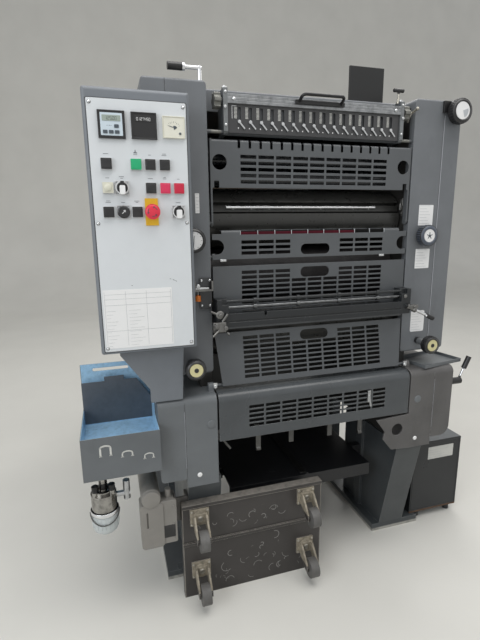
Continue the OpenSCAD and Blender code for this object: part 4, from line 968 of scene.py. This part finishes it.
# %% Marks over the buttons
marks = bmesh.new()
MARKED = [(-80, 0), (-11, 0), (23, 0), (58, 0), (-80, 1), (-47, 1), (22, 1), (57, 1), (91, 1), (-82, 2), (-47, 2),
          (-14, 2), (88, 2)]
for number, (u, row) in enumerate(MARKED):
    x, y, z = spot(u, ROW_Z[row] + 23)
    for k in range(1 + number % 2):
        reach = 6.0 - 1.5 * ((number + k) % 3)
        stroke(marks, (x - reach, z + 3.4 * k), (x + reach, z + 3.4 * k), 1.1, y - 0.02, 0.15)
x, y, z = spot(-11, ROW_Z[0] + 29)
for turn in (90, 210, 330):
    tip = Vector((x + 5 * cos(radians(turn)), z + 5 * sin(radians(turn))))
    stroke(marks, (x, z), tip, 1.8, y - 0.02, 0.15)
finish_piece("panel_marks", marks, "mark_grey")
print("marks:", len(MARKED))

# %% [markdown]
# ## The three instruments
# A display with a few keys, a counter with a window of white figures, and a pointer meter. Their
# figures are plain numbers. Each figure is drawn with the seven bars that every calculator uses, which
# needs no font and keeps the mesh small.

# %% Display and counter
BARS = {"top": ((0, 2), (1, 2)), "middle": ((0, 1), (1, 1)), "bottom": ((0, 0), (1, 0)),
        "left_high": ((0, 1), (0, 2)), "left_low": ((0, 0), (0, 1)),
        "right_high": ((1, 1), (1, 2)), "right_low": ((1, 0), (1, 1))}
LIT = {"0": "top bottom left_high left_low right_high right_low", "1": "right_high right_low",
       "2": "top middle bottom left_low right_high", "3": "top middle bottom right_high right_low",
       "4": "middle left_high right_high right_low", "5": "top middle bottom left_high right_low",
       "6": "top middle bottom left_high left_low right_low", "7": "top right_high right_low",
       "8": "top middle bottom left_high left_low right_high right_low",
       "9": "top middle bottom left_high right_high right_low"}


def figures(shape, text, x, z, width, y, line=0.6):
    """Plain numbers in a row, each twice as high as it is wide."""
    for number, sign in enumerate(text):
        left = x + number * width * 1.55
        for bar_name in LIT[sign].split():
            (ax, az), (bx, bz) = BARS[bar_name]
            stroke(shape, (left + ax * width, z + az * width), (left + bx * width, z + bz * width), line, y, 0.15)


x, y, z = spot(-62, INSTRUMENT_Z, 6)
pad = bmesh.new()
plate(pad, rounded(x - 25, z - 25, x + 25, z + 25, 1.5), y + 0.2, y - 0.5, 0.3)
finish_piece("display_plate", pad, "display_blue")
window = bmesh.new()
plate(window, rounded(x - 21, z + 7, x + 21, z + 20, 1.0), y - 0.3, y - 1.1, 0.3)
finish_piece("display_window", window, "display_green")
readout = bmesh.new()
figures(readout, "12500", x - 14, z + 9.5, 3.6, y - 1.1)
finish_piece("display_figures", readout, "black_plastic")
keys = bmesh.new()
for u, v in ((11, -4), (-15, -17), (-1.5, -17), (12, -17)):
    plate(keys, rounded(x + u - 5.2, z + v - 3.8, x + u + 5.2, z + v + 3.8, 1.2), y - 0.4, y - 1.8, 0.5)
for u in (-10, -5, -1):
    turned(keys, (x + u, y - 0.4, z - 3), OUT, [(0, 0.9), (0.4, 0.8)], 10)
finish_piece("display_keys", keys, "slate")
x, y, z = spot(13, INSTRUMENT_Z, 6)
frame_edge = bmesh.new()
border(frame_edge, x, z, 30, 30, 3, y - 1.6, y + 0.2, 0.5)
turned(frame_edge, (x - 22, y, z - 21), OUT, [(-0.2, 1.6), (1.2, 1.4), (1.5, 0.8)], 12)
block(frame_edge, (x - 20, y - 0.9, z + 9), (x + 19, y + 0.2, z + 22), 0.4)
finish_piece("counter_frame", frame_edge, "black_plastic")
count = bmesh.new()
figures(count, "0127450", x - 17, z + 11.5, 3.1, y - 1.0, 0.9)
finish_piece("counter_figures", count, "white")
print("display and counter")

# %% [markdown]
# The meter has a cream face in a narrow rim. Its scale runs over a dark pivot cover, and a small screw
# in the corner sets the needle to zero.

# %% Meter
x, y, z = spot(84, INSTRUMENT_Z, 6)
scale_marks = bmesh.new()
for k in range(9):
    turn = radians(150 - 15 * k)
    inner, outer = (15 if k % 2 else 13.5), 17.5
    stroke(scale_marks, (x + inner * cos(turn), z - 4 + inner * sin(turn)),
           (x + outer * cos(turn), z - 4 + outer * sin(turn)), 0.6, y - 0.02, 0.15)
stroke(scale_marks, (x - 12, z + 3), (x + 1, z - 1), 1.1, y - 0.5, 0.4)
plate(scale_marks, arc_points(x + 2, z - 3, 6.5, 20, 120, 8) + [(x + 1, z - 6)], y, y - 0.7, 0.2)
turned(scale_marks, (x + 15, y + 0.2, z - 14), OUT, [(0, 3.0), (1.4, 2.8), (1.9, 1.8)], 16)
finish_piece("meter_marks", scale_marks, "slate")
rim = bmesh.new()
border(rim, x, z, 27, 25, 2, y - 1.2, y + 0.2)
finish_piece("meter_rim", rim, "cream")
print("meter with scale, needle and rim")

# %% [markdown]
# A printed card is stuck to the lower part of the panel. It holds a table in thin grey lines, which we
# draw as lines only. Two short scratches lie above it.

# %% Card on the panel
card = bmesh.new()
x0, _, z0 = spot(-112, 8)
x1, _, z1 = spot(62, 161)
plate(card, rounded(x0, z0, x1, z1, 1.0), face_y + 0.05, face_y - 0.35, 0.1)
finish_piece("panel_card", card, "white")
lines = bmesh.new()
card_y = face_y - 0.34
for share in (0.30, 0.74, 0.84, 0.92):
    stroke(lines, (x0 + 4, z0 + share * (z1 - z0)), (x1 - 4, z0 + share * (z1 - z0)), 0.6, card_y, 0.1)
for k in range(11):
    height = z0 + (0.04 + 0.06 * k) * (z1 - z0)
    stroke(lines, (x0 + 6, height), (x0 + 16 + 6 * (k % 4), height), 0.5, card_y, 0.1)
    stroke(lines, (x0 + 62, height), (x0 + 82 + 9 * (k % 3), height), 0.5, card_y, 0.1)
for share in (0.02, 0.32, 0.62, 0.98):
    stroke(lines, (x0 + share * (x1 - x0), z0 + 5), (x0 + share * (x1 - x0), z1 - 5), 0.6, card_y, 0.1)
finish_piece("card_lines", lines, "card_grey")
scuffs = bmesh.new()
for u, v, du, dv in ((58, 183, 4, -1), (66, 181, 5, -3), (73, 178, 3, -3), (-40, 170, 3, 0)):
    x, y, z = spot(u, v)
    stroke(scuffs, (x, z), (x + du, z + dv), 1.0, y - 0.02, 0.12)
finish_piece("panel_scuffs", scuffs, "black_plastic")
print("card of", round(x1 - x0), "by", round(z1 - z0), "mm")

# %% [markdown]
# ## Dials and hand knobs
# Each wheel is a knurled black rim round a printed face. The knurl is a ring of small ridges; the
# upper dials have a white face with a pointer, and the hand knobs below a cream disc round a dark hub.

# %% Dials and hand knobs
RIDGES = 30


def dress_wheel(node_name, face_share, face_finish, pointer, rim_finish="black_plastic"):
    """Knurl, rim, face and hub on the front of a wheel."""
    a, b = corners_of(node_name)
    x, z, front, radius = (a.x + b.x) / 2, (a.z + b.z) / 2, a.y, (b.x - a.x) / 2
    face_r = face_share * radius
    grip = bmesh.new()
    for k in range(RIDGES):
        turn = 2 * pi * k / RIDGES
        px, pz = x + (radius - 0.6) * cos(turn), z + (radius - 0.6) * sin(turn)
        rod(grip, (px, front + 2, pz), (px, front + 20, pz), 1.9, 0.7, 8)
    turned(grip, (x, front + 0.2, z), OUT, [(-1.0, radius - 0.8), (1.2, radius - 2.5), (3.4, radius - 6.5),
                                                  (3.6, face_r + 3), (1.5, face_r + 0.8), (0.1, face_r)], 44)
    finish_piece(node_name + "_rim", grip, rim_finish, node_name)
    disc = bmesh.new()
    turned(disc, (x, front, z), OUT, [(-0.3, face_r + 0.6), (1.5, face_r + 0.4), (1.9, face_r - 0.6)], 40)
    finish_piece(node_name + "_face", disc, face_finish, node_name)
    hub = bmesh.new()
    if pointer == "star":
        for k in range(5):
            turn = radians(90 + 72 * k)
            tip = (x + 0.55 * face_r * cos(turn), z + 0.55 * face_r * sin(turn))
            stroke(hub, (x, z), tip, 2.2, front - 1.8, 0.5)
        turned(hub, (x, front - 1.8, z), OUT, [(0, 4.2), (1.6, 4.0), (2.2, 2.6)], 20)
    elif pointer == "sector":
        plate(hub, arc_points(x, z, 0.8 * face_r, -70, 20, 8) + [(x, z)], front - 1.8, front - 2.2, 0.1)
    elif pointer == "needle":
        stroke(hub, (x - 2, z - 0.8 * face_r), (x + 1, z + 0.55 * face_r), 1.8, front - 1.8, 0.6)
        for k in range(12):
            turn = radians(30 * k)
            stroke(hub, (x + 0.80 * face_r * cos(turn), z + 0.80 * face_r * sin(turn)),
                   (x + 0.93 * face_r * cos(turn), z + 0.93 * face_r * sin(turn)), 1.0, front - 1.8, 0.3)
    else:
        turned(hub, (x, front - 1.6, z), OUT, [(0, 0.36 * face_r), (1.4, 0.33 * face_r), (1.8, 0.22 * face_r),
                                                    (0.6, 0.18 * face_r)], 24)
    hub_finish = {"sector": "card_grey", "hub": "black_plastic"}.get(pointer, "slate")
    finish_piece(node_name + "_hub", hub, hub_finish, node_name)


dress_wheel("dial_top_right", 0.70, "white", "sector")
dress_wheel("dial_mid_right", 0.60, "white", "star", "rim_blue")
dress_wheel("dial_mid_left", 0.72, "white", "needle")
dress_wheel("hand_knob_right", 0.66, "dial_cream", "hub")
dress_wheel("hand_knob_left", 0.66, "dial_cream", "hub")
print("wheels dressed: 5")

# %% [markdown]
# ## Ink fountain
# Ink is let onto the rollers through a gap that sixteen keys set, one for each strip of the sheet. Beside
# each key's slot is a ribbed scale, and below it a white point marks the strip's middle, so that the
# printer can tell the keys apart. The rail above carries two screws, and each end has nuts and a small
# crank; the black T-shaped grip on the right is pulled to free the fountain.

# %% Scales, points and rail
KEYS = 16
plate_z = low_of("key_plate").z - 5
key_pitch = 520 / KEYS
scales, points = bmesh.new(), bmesh.new()
for k in range(KEYS):
    key_x = (k - (KEYS - 1) / 2) * key_pitch
    for rib in range(9):
        z = plate_z + 43 + 3.4 * rib
        block(scales, (key_x - 13, -0.8, z), (key_x - 5, 0.05, z + 1.7), 0.25)
    turned(points, (key_x - 1, 0.05, plate_z + 18), OUT, [(0, 1.8), (0.5, 1.7), (0.8, 1.0)], 12)
stroke(points, (-262.5, plate_z + 42), (-262.5, plate_z + 75), 1.2, 0.02, 0.4)
stroke(points, (-262.5, plate_z + 75), (-250, plate_z + 75), 1.2, 0.02, 0.4)
finish_piece("key_scales", scales, "worn_white", "ink_fountain")
finish_piece("key_points", points, "white", "ink_fountain")
rail = bmesh.new()
for x in (-258, 258):
    screw(rail, (x, -6, key_top - 13), OUT, 4.6)
for x in (-282, 282):
    screw(rail, (x, -6, key_top + 4), OUT, 3.4)
    screw(rail, (x, -6, plate_z + 24), OUT, 3.4)
    rod(rail, (x, 8, key_top + 9), (x, 8, key_top + 22), 4.2)
    block(rail, (x - 6.5, 2, key_top + 14), (x + 6.5, 14, key_top + 19))
for x in (-284, 284):
    turned(rail, (x, -6, key_top - 34), OUT, [(-0.5, 4.4), (3.0, 4.4), (3.6, 3.6)], 6)
finish_piece("rail_screws", rail, "steel", "ink_fountain")
crank = bmesh.new()
turned(crank, (318, 14, key_top - 16), (1, 0, 0), [(-1, 12), (3, 12), (4, 10), (7, 7), (8, 4)], 24)
rod(crank, (322, 12, key_top - 18), (327, -16, key_top - 6), 3.4)
rod(crank, (322, 12, key_top - 18), (326, 26, key_top - 36), 3.4)
turned(crank, (326, -12, key_top - 8), (5, -28, 12), [(0, 3.2), (2, 5.0), (6, 5.4), (9, 4.2), (10, 2)], 20)
rod(crank, (278, 14, key_top + 10), (278, 14, key_top + 48), 2.4)
turned(crank, (278, 14, key_top + 12), (0, 0, 1), [(0, 6), (5, 6), (6.5, 4.5), (14, 4.2), (15, 3)], 18)
finish_piece("fountain_crank", crank, "zinc", "ink_fountain")
t_grip = bmesh.new()
rod(t_grip, (260, 14, key_top + 50), (296, 14, key_top + 50), 5.6, 1.4, 22)
turned(t_grip, (278, 14, key_top + 50), (0, 0, -1), [(0, 4.4), (8, 4.0), (9.5, 3.0)], 16)
finish_piece("fountain_t_grip", t_grip, "black_plastic", "ink_fountain")
print("keys dressed:", KEYS)

# %% [markdown]
# ## Plate cylinder and the guards' trim
# In the open bay the cylinder shows the bright clamp that holds the printing plate: two bars in its gap.
# A row of nine short plated studs across it is a painted highlight, the bright dashes of light that fall
# through the guard onto the cylinder. The clamp rides on the cylinder.

# %% Plate clamp
drum_low, drum_high = corners_of("plate_cylinder")
drum_y, drum_z = (drum_low.y + drum_high.y) / 2, (drum_low.z + drum_high.z) / 2
CLAMP_TURN = radians(21)
drum_r = (drum_high.z - drum_low.z) / 2


def on_drum(out, up):
    """A point in Y and Z on the plate cylinder, out along its gap and up across it."""
    across, lift = cos(CLAMP_TURN), sin(CLAMP_TURN)
    return drum_y - out * across - up * lift, drum_z + out * lift + up * across


# The nine short studs made below are painted highlights: dashes of light falling through the guard.
clamp = bmesh.new()
for up, radius in ((3.5, 4.6), (-6.5, 2.2)):
    y, z = on_drum(drum_r - 6.5, up)
    rod(clamp, (-272, y, z), (238, y, z), radius, 0.8, 18)
for k in range(9):
    y, z = on_drum(drum_r - 5.2, -1.5)
    rod(clamp, (-250 + 58 * k, y + 3, z), (-250 + 58 * k, y - 2, z + 0.8), 2.6, 0.5, 10)
finish_piece("plate_clamp", clamp, "chrome", "plate_cylinder")
print("plate clamp on the cylinder")

# %% [markdown]
# Along the top of the plate guard, dark red rubber shows through a row of cells that thin bars divide.
# Small plated tabs and pins show where the guards hang, and a latch is screwed to the bay's right wall.

# %% Guard trim and bay latch
CELLS = 9
bars = bmesh.new()
for k in range(CELLS + 1):
    x = CELL_LEFT + k * (CELL_RIGHT - CELL_LEFT) / CELLS
    block(bars, (x - 1.0, -0.8, plate_top - 13.5), (x + 1.0, 4.0, plate_top - 1.2), 0.3)
finish_piece("plate_guard_bars", bars, "card_grey", "plate_guard")

tabs = bmesh.new()
tab_z = low_of("plate_guard").z
for x in (-296, 238):
    block(tabs, (x - 9, -1.5, tab_z - 5), (x + 9, 1.5, tab_z + 2))
    screw(tabs, (x - 4, -1.5, tab_z - 2), OUT, 1.8)
    screw(tabs, (x + 4, -1.5, tab_z - 2), OUT, 1.8)
finish_piece("guard_tabs", tabs, "steel", "plate_guard")

latch = bmesh.new()
block(latch, (327.5, 28, 1204), (334, 35, 1262), 1.2)
block(latch, (322, 29, 1240), (334, 42, 1258), 1.0)
for y, z in ((31.5, 1212), (31.5, 1228), (31.5, 1235)):
    turned(latch, (327.6, y, z), (-1, 0, 0), [(-0.3, 4), (2.2, 4), (3.0, 3)], 6)
rod(latch, (323, 33, 1245), (321, 30, 1222), 2.4)
finish_piece("bay_latch", latch, "cast")

hinges = bmesh.new()
for side_sign in (-1, 1):
    x = side_sign * 336
    turned(hinges, (x, -29.5, 704), OUT, [(-4, 5.6), (1.0, 5.6), (2.2, 4.6), (2.4, 2.2), (1.6, 2.0)], 20)
    block(hinges, (x - 6, -30, 700), (x + 6, -27.5, 716))
finish_piece("lower_guard_pins", hinges, "steel")
print("guard bars, tabs, pins and latch")

# %% [markdown]
# The imprint unit hangs on the blanket guard. Cast clamps with thumb screws hold its bar at both ends,
# and the register bracket on the left tower has the same kind of screws.

# %% Imprint clamps and bracket screws
clamps = bmesh.new()
block(clamps, (-345, -60, 878), (-306, -44.5, 908), 2.5)
turned(clamps, (-322, -44.5, 928), OUT, [(0, 12), (8, 12), (9.5, 10), (10, 6), (17, 5.6), (18, 4)], 24)
turned(clamps, (-336, -60, 898), OUT, [(0, 8.5), (6, 8.5), (7, 7.5), (7.2, 4), (12, 4), (12.6, 3)], 6)
turned(clamps, (-308, -60, 890), OUT, [(0, 6), (5, 6), (6, 5), (6.2, 2)], 18)
rod(clamps, (-330, -66, 886), (-350, -72, 870), 3.6)
rod(clamps, (-316, -52, 908), (-300, -54, 930), 4.2)
rod(clamps, (-330, -50, 930), (-350, -50, 940), 3.2)
for k in range(6):
    turned(clamps, (-303 + 1.2 * k, -52, 872 - 0.4 * k), (1, 0, 0.2), [(0, 5.2), (0.6, 5.6), (1.2, 5.2)], 18)
turned(clamps, (306, -44.5, 946), OUT, [(-0.5, 6.2), (3, 6.2), (4, 5), (4.2, 2)], 20)
arm = Vector((0.906, 0, -0.423))
turned(clamps, (312, -48, 914), arm,
       [(0, 9), (6, 9), (8, 7.4), (26, 7.4), (28, 9.4), (38, 9.4), (40, 7)], 24)
block(clamps, (322, -57, 905), (352, -46, 918), 2.5)
turned(clamps, (337, -57, 911), OUT, [(-0.5, 5), (3, 5), (4, 4), (4.2, 2)], 6)
finish_piece("imprint_clamps", clamps, "cast", "blanket_guard")
bracket = bmesh.new()
for dx, dz in ((26, 84), (50, 84), (26, 10), (50, 10)):
    screw(bracket, (clip.x + dx, -5, clip.z + dz), OUT, 3.6)
turned(bracket, (clip.x + 12, -26, clip.z + 70), OUT, [(-6, 6), (0, 6), (1, 5), (1.2, 2)], 20)
block(bracket, (clip.x + 4, -24, clip.z + 60.5), (clip.x + 44, -8, clip.z + 66), 1.2)
finish_piece("bracket_screws", bracket, "steel")
print("imprint clamps and bracket screws")

# %% [markdown]
# ## Labels, plugs and caps on the covers
# Bare labels sit on the towers and the cabinet, ruled with a few pale lines where the real ones are
# printed. Each is a thin plate with round corners, sunk a little so that no gap shows under it.

# %% Bare labels
def bare_label(shape, rules, x0, z0, x1, z1, y=0.0, radius=2.0):
    """A thin label with pale ruled lines on it."""
    plate(shape, rounded(x0, z0, x1, z1, radius), y + 0.05, y - 0.6, 0.2)
    count = max(2, int((z1 - z0) / 9))
    for k in range(count):
        z = z0 + (k + 0.7) * (z1 - z0) / count
        reach = (x1 - x0) * (0.74 - 0.12 * (k % 3))
        stroke(rules, (x0 + 3, z), (x0 + 3 + reach, z), 0.9, y - 0.58, 0.1)


labels, rules = bmesh.new(), bmesh.new()
bare_label(labels, rules, 372, 1172, 428, 1238)
bare_label(labels, rules, 370, 1030, 426, 1095)
bare_label(labels, rules, 369, 810, 424, 884, radius=6)
bare_label(labels, rules, -374, 1214, -362, 1268, radius=1.0)
cabinet_low, cabinet_high = corners_of("control_cabinet")
cabinet_label = bmesh.new()
bare_label(cabinet_label, rules, cabinet_low.x + 70, 257, cabinet_low.x + 190, 309, cabinet_low.y)
finish_piece("bare_labels", labels, "white")
finish_piece("cabinet_label", cabinet_label, "worn_white")
finish_piece("label_rules", rules, "card_grey")
print("bare labels: 5")

# %% [markdown]
# White plugs close the holes through which the cheeks are bolted, and a low round cap closes the oil hole
# above each. Along the seam between each tower's front and side sheet, and down each cheek, a light line
# is a painted highlight of the edge that catches the light. A rubber strip seals the top cover against
# the towers and the rear cover.

# %% Seal, seams, plugs and caps
tower_in = low_of("tower_right").x
cheek_y = low_of("cheek_left").y
rear_seal = bmesh.new()
block(rear_seal, (-346, 684, 1549), (346, 691.8, 1559.5), 0.5)
# The light seam strokes are painted highlights, lines where an edge would catch the light.
seams = bmesh.new()
for side_sign in (-1, 1):
    seal_x = side_sign * tower_in
    block(rear_seal, (seal_x - 7, 600, 1540), (seal_x + 7, 688, 1555), 0.5)
    stroke(seams, (side_sign * 446.4, 748), (side_sign * 446.4, 1514), 2.6, 0.02, 0.2)
    stroke(seams, (side_sign * 438.2, 470), (side_sign * 438.2, 650), 1.2, cheek_y + 0.02, 0.1)
finish_piece("rear_seal", rear_seal, "black_plastic")
finish_piece("seam_highlight_lines", seams, "painted_seam_highlight")
plugs, caps = bmesh.new(), bmesh.new()
for x, z in ((-399, 442), (372, 439)):
    turned(plugs, (x, cheek_y, z), OUT, [(-0.5, 7.5), (1.5, 7.3), (2.6, 6.0), (3.0, 3.0)], 24)
for x, z in ((-359, 600), (372, 585)):
    turned(caps, (x, cheek_y, z), OUT, [(-0.5, 13.5), (1.0, 13.2), (1.8, 12.0), (1.9, 3.0)], 32)
finish_piece("cheek_plugs", plugs, "white")
finish_piece("cheek_caps", caps, "cover")
print("seal, seams, plugs and caps")

# %% [markdown]
# ## Tool tray, filter and pump
# The tray's front carries three worn silver marks where hooks used to hang. Each is a flat arch on two
# short feet, drawn in strokes.

# %% Tray marks
def arch(shape, x, z, width, height, line, y):
    """A worn mark in the form of a flat arch on two feet."""
    half, foot_z = width / 2, z - height / 2
    spring_z = z + height / 2 - half * 0.5
    curve = [(px, spring_z + 0.5 * (pz - spring_z)) for px, pz in arc_points(x, spring_z, half, 0, 180, 12)]
    curve = [(x + half, foot_z), *curve, (x - half, foot_z)]
    for a, b in zip(curve, curve[1:]):
        stroke(shape, a, b, line, y, 0.15)
    for foot_x in (x - half, x + half):
        stroke(shape, (foot_x - 4, foot_z), (foot_x + 4, foot_z), 2.2, y, 0.15)


tray_marks = bmesh.new()
for x, z, width, height, line in ((-663, 585, 27, 30, 5.2), (-606, 568, 27, 16, 4.0), (-548, 552, 24, 15, 3.4)):
    arch(tray_marks, x, z, width, height, line, lip.y - 0.02)
finish_piece("tray_marks", tray_marks, "worn_white")
print("tray marks: 3")

# %% [markdown]
# Under the tray hangs the air filter, a ribbed glass bowl in a plated clamp ring with a dark wire bail.
# Its cast head and its pipe stub are bare metal, and the two caps on the head are black.

# %% Filter
neck_z = lip.z - 134
bowl_x = lip.x + 46
bowl_y = lip.y + 60
BOWL_PROFILE = [(0, 36.2), (3, 37.4), (44, 36.8), (54, 33), (61, 25), (65, 13), (66, 4)]
RING_PROFILE = [(0, 39.4), (1.5, 40.2), (4, 40.6), (8, 40.6), (10.5, 40.0), (12, 39.2)]
BOWL_RIBS = 20
shell = bmesh.new()
turned(shell, (bowl_x, bowl_y, neck_z), (0, 0, -1), BOWL_PROFILE, 48)
for k in range(BOWL_RIBS):
    turn = 2 * pi * k / BOWL_RIBS
    x, y = bowl_x + 37.0 * cos(turn), bowl_y + 37.0 * sin(turn)
    rod(shell, (x, y, neck_z - 5), (x, y, neck_z - 40), 1.4, 0.5, 8)
finish_piece("filter_shell", shell, "glass")
trim = bmesh.new()
turned(trim, (bowl_x, bowl_y, neck_z + 12), (0, 0, -1), RING_PROFILE, 48)
wire = [(bowl_x + 41 * cos(radians(a)), bowl_y + 41 * sin(radians(a)), neck_z + 4 - 26 * sin(radians(a - 180)))
        for a in range(180, 361, 12)]
bail = bmesh.new()
for a, b in zip(wire, wire[1:]):
    rod(bail, a, b, 1.8, 0.3, 10)
finish_piece("filter_clamp", trim, "chrome")
finish_piece("filter_bail", bail, "dull_steel")
HEAD_METAL = {"colour": (0.36, 0.35, 0.33), "roughness": 0.20, "metallic": 1.0, "dirt": 1.0}
stub_x = bowl_x + 38
repaint("filter_bowl", "glass",
        ((bowl_x - 60, bowl_y - 60, neck_z + 0.5), (stub_x, bowl_y + 60, neck_z + 200), HEAD_METAL),
        ((stub_x, bowl_y - 60, neck_z), (bowl_x + 90, bowl_y + 60, neck_z + 200), STEEL),
        ((bowl_x - 60, bowl_y - 30, neck_z + 74), (bowl_x + 36, bowl_y + 8, neck_z + 93), BLACK))
print("filter bowl, clamp ring and bail")

# %% [markdown]
# The pump stands beside the filter. Its filler cap is black, its motor has a turned end cap, and its
# rating plate is left bare.

# %% Pump
pump_face = low_of("pump_unit").y
repaint("pump_unit", "pump", ((-480, pump_face + 12, 371), (-456, pump_face + 40, 410), BLACK))
pump_plate = bmesh.new()
plate(pump_plate, rounded(-522, 248, -480, 289, 2.0), pump_face + 3.2, pump_face + 1.8, 0.4)
finish_piece("pump_plate", pump_plate, "black_plastic")
motor_cap = bmesh.new()
turned(motor_cap, (-548, pump_face, 386), OUT, [(-0.5, 27.5), (1.6, 27), (2.6, 23), (2.8, 6)], 44)
for z in (243, 292, 352):
    screw(motor_cap, (-484, pump_face + 3, z), OUT, 3.2)
finish_piece("motor_cap", motor_cap, "pump")
print("pump plate, screws and motor cap")

# %% [markdown]
# ## Trolley, cabinet and delivery table
# The pile trolley is parked against the leg. Its caster plates are bolted on and have kept some of
# their cream paint, with rust coming through. The sheet's edges are painted lighter, partly as bare
# wear and partly as a painted highlight along the top rail and the flanges.

# %% Trolley casters and edges
RUSTY_CREAM = {"colour": (0.30, 0.265, 0.205), "roughness": 0.50, "dirt": 1.0}
# The lighter edge bands are partly wear and partly a painted highlight on the rail and flanges.
WORN_AND_HIGHLIT_EDGE = {"colour": (0.20, 0.185, 0.165), "roughness": 0.34, "dirt": 0.8}
trolley, trolley_end = corners_of("pile_trolley")
trolley_face = trolley_end.y - 26
CASTERS = [(trolley.x + dx, z) for dx in (55, 418) for z in (99, 288)]
plates = [((x - 31, trolley_face - 70, z - 29), (x + 31, trolley_face - 1.5, z + 29), RUSTY_CREAM)
          for x, z in CASTERS]
left, right_end, rim_z = trolley.x - 1, trolley_end.x + 1, trolley_end.z
edges = [((left, trolley_face - 4.2, rim_z - 13), (right_end, trolley_face + 2, rim_z - 10.4)),
         ((left, trolley_face - 4.2, rim_z - 1.2), (right_end, trolley_face + 30, rim_z + 1)),
         ((right_end - 4, trolley_face - 1, 0), (right_end, trolley_face + 3, rim_z)),
         ((left, trolley_face - 1, 0), (left + 4, trolley_face + 3, rim_z))]
repaint("pile_trolley", "trolley", *plates, *[(low, high, WORN_AND_HIGHLIT_EDGE) for low, high in edges])
bolts = bmesh.new()
for x, z in CASTERS:
    for dx in (-25, 25):
        for dz in (-22, 22):
            turned(bolts, (x + dx, trolley_face - 6, z + dz), OUT, [(-0.5, 4.2), (2.6, 4.2), (3.2, 3.4)], 6)
    turned(bolts, (x, trolley_face - 13, z), OUT, [(0, 12), (1.5, 11.5), (4, 8), (4.5, 4)], 24)
finish_piece("caster_bolts", bolts, "zinc")
print("casters bolted on:", len(CASTERS))

# %% [markdown]
# The trolley's pan is scuffed in short bows. They are laid out by a noise with a fixed seed, so they look
# chance-made and are yet the same every time. Every third one falls on the upper half, above the
# middle rib.

# %% Trolley scuffs
scuffs = bmesh.new()
SCUFFS = 54
SCUFF_SEED = 7
noise.seed_set(SCUFF_SEED)
for k in range(SCUFFS):
    drift = noise.noise_vector(Vector((1.7 * k + 0.3, 3.1, 0.4)))
    lean = noise.noise_vector(Vector((0.9 * k + 0.6, 7.7, 2.4)))
    high_one = k % 3 == 0
    x = -215 + 360 * drift.x
    z = 250 + 45 * drift.y if high_one else 60 + 150 * drift.y
    if trolley.x + 25 < x < -25 and (26 < z < 172 or 212 < z < 300):
        reach, half_line = 5 + 24 * abs(lean.x), 0.5 + 1.2 * abs(lean.z)
        start, end = 720 * lean.y, 720 * lean.y + 50 + 300 * abs(lean.z)
        outer, inner = (arc_points(x, z, reach + way * half_line, start, end, 7) for way in (1, -1))
        plate(scuffs, outer + inner[::-1], trolley_face + 0.02, trolley_face - 0.06, 0)
finish_piece("trolley_scuffs", scuffs, "scuff_grey")
print("scuffs tried:", SCUFFS)

# %% [markdown]
# The cabinet beside the right leg is black at the front and grey on top, with rust along its foot, and
# a fine groove round its door. A strip of bare metal runs over the delivery table.

# %% Cabinet and table strip
RUST = {"colour": (0.110, 0.060, 0.034), "roughness": 0.75, "dirt": 0.9}
LID_GREY = {"colour": GREY_BLUE, "roughness": 0.38, "dirt": 0.4}
left, right_end, door_y = cabinet_low.x - 5, cabinet_high.x + 5, cabinet_low.y
repaint("control_cabinet", "cabinet",
        ((left, door_y + 2, cabinet_high.z - 1.5), (right_end, cabinet_high.y + 5, 400), LID_GREY),
        ((left, door_y - 5, 28), (right_end, door_y + 2, 37), RUST))
door = bmesh.new()
x0, x1, z0, z1 = cabinet_low.x + 6, cabinet_high.x - 6, 42, cabinet_high.z - 6
corners = [(x, door_y - 0.1, z) for x, z in ((x0, z0), (x1, z0), (x1, z1), (x0, z1))]
for a, b in zip(corners, corners[1:] + corners[:1]):
    rod(door, a, b, 1.2, 0.4, 10)
finish_piece("cabinet_door_trim", door, "cabinet")

table_low, table_high = corners_of("delivery_table")
strip = bmesh.new()
block(strip, (-12, table_low.y + 5, table_high.z - 0.2), (12, table_high.y - 5, table_high.z + 1.2), 0.5)
finish_piece("table_strip", strip, "table_metal", "delivery_table")
print("cabinet and table strip")

# %% [markdown]
# ## The sides and the back
# Sheet-metal covers come off for service, so each is held by screws along its edges. The same helper
# sets them on the tower sides, the rear cover and the feeder frames.

# %% Cover screws
cover_screws = bmesh.new()
tower_low, tower_high = corners_of("tower_right")
for x, way in ((low_of("tower_left").x, -1), (tower_high.x, 1)):
    for y in (40, 250, 450, 660):
        for z in (tower_low.z + 30, tower_high.z - 30):
            screw(cover_screws, (x, y, z), (way, 0, 0), 5.0)
rear_low, rear_high = corners_of("rear_cover")
for x in (-310, -105, 105, 310):
    for z in (rear_low.z + 16, rear_high.z - 16):
        screw(cover_screws, (x, rear_high.y, z), (0, 1, 0), 4.5)
feeder_low, feeder_high = corners_of("feeder_frames")
for x, way in ((feeder_low.x, -1), (feeder_high.x, 1)):
    for y in (740, 1180):
        turned(cover_screws, (x, y, 730), (way, 0, 0), [(-0.5, 11), (7, 11), (8.5, 9)], 6)
    for y in (760, 1560):
        turned(cover_screws, (x, y, 170), (way, 0, 0), [(-0.5, 9), (6, 9), (7.5, 7.5)], 6)
console_low, console_high = corners_of("console_box")
for z in (console_high.z - 40, console_high.z - 560):
    for x in (console_low.x + 14, console_high.x - 14):
        screw(cover_screws, (x, console_high.y, z), (0, 1, 0), 4.0)
finish_piece("cover_screws", cover_screws, "steel")
print("pieces made:", len(made_pieces))
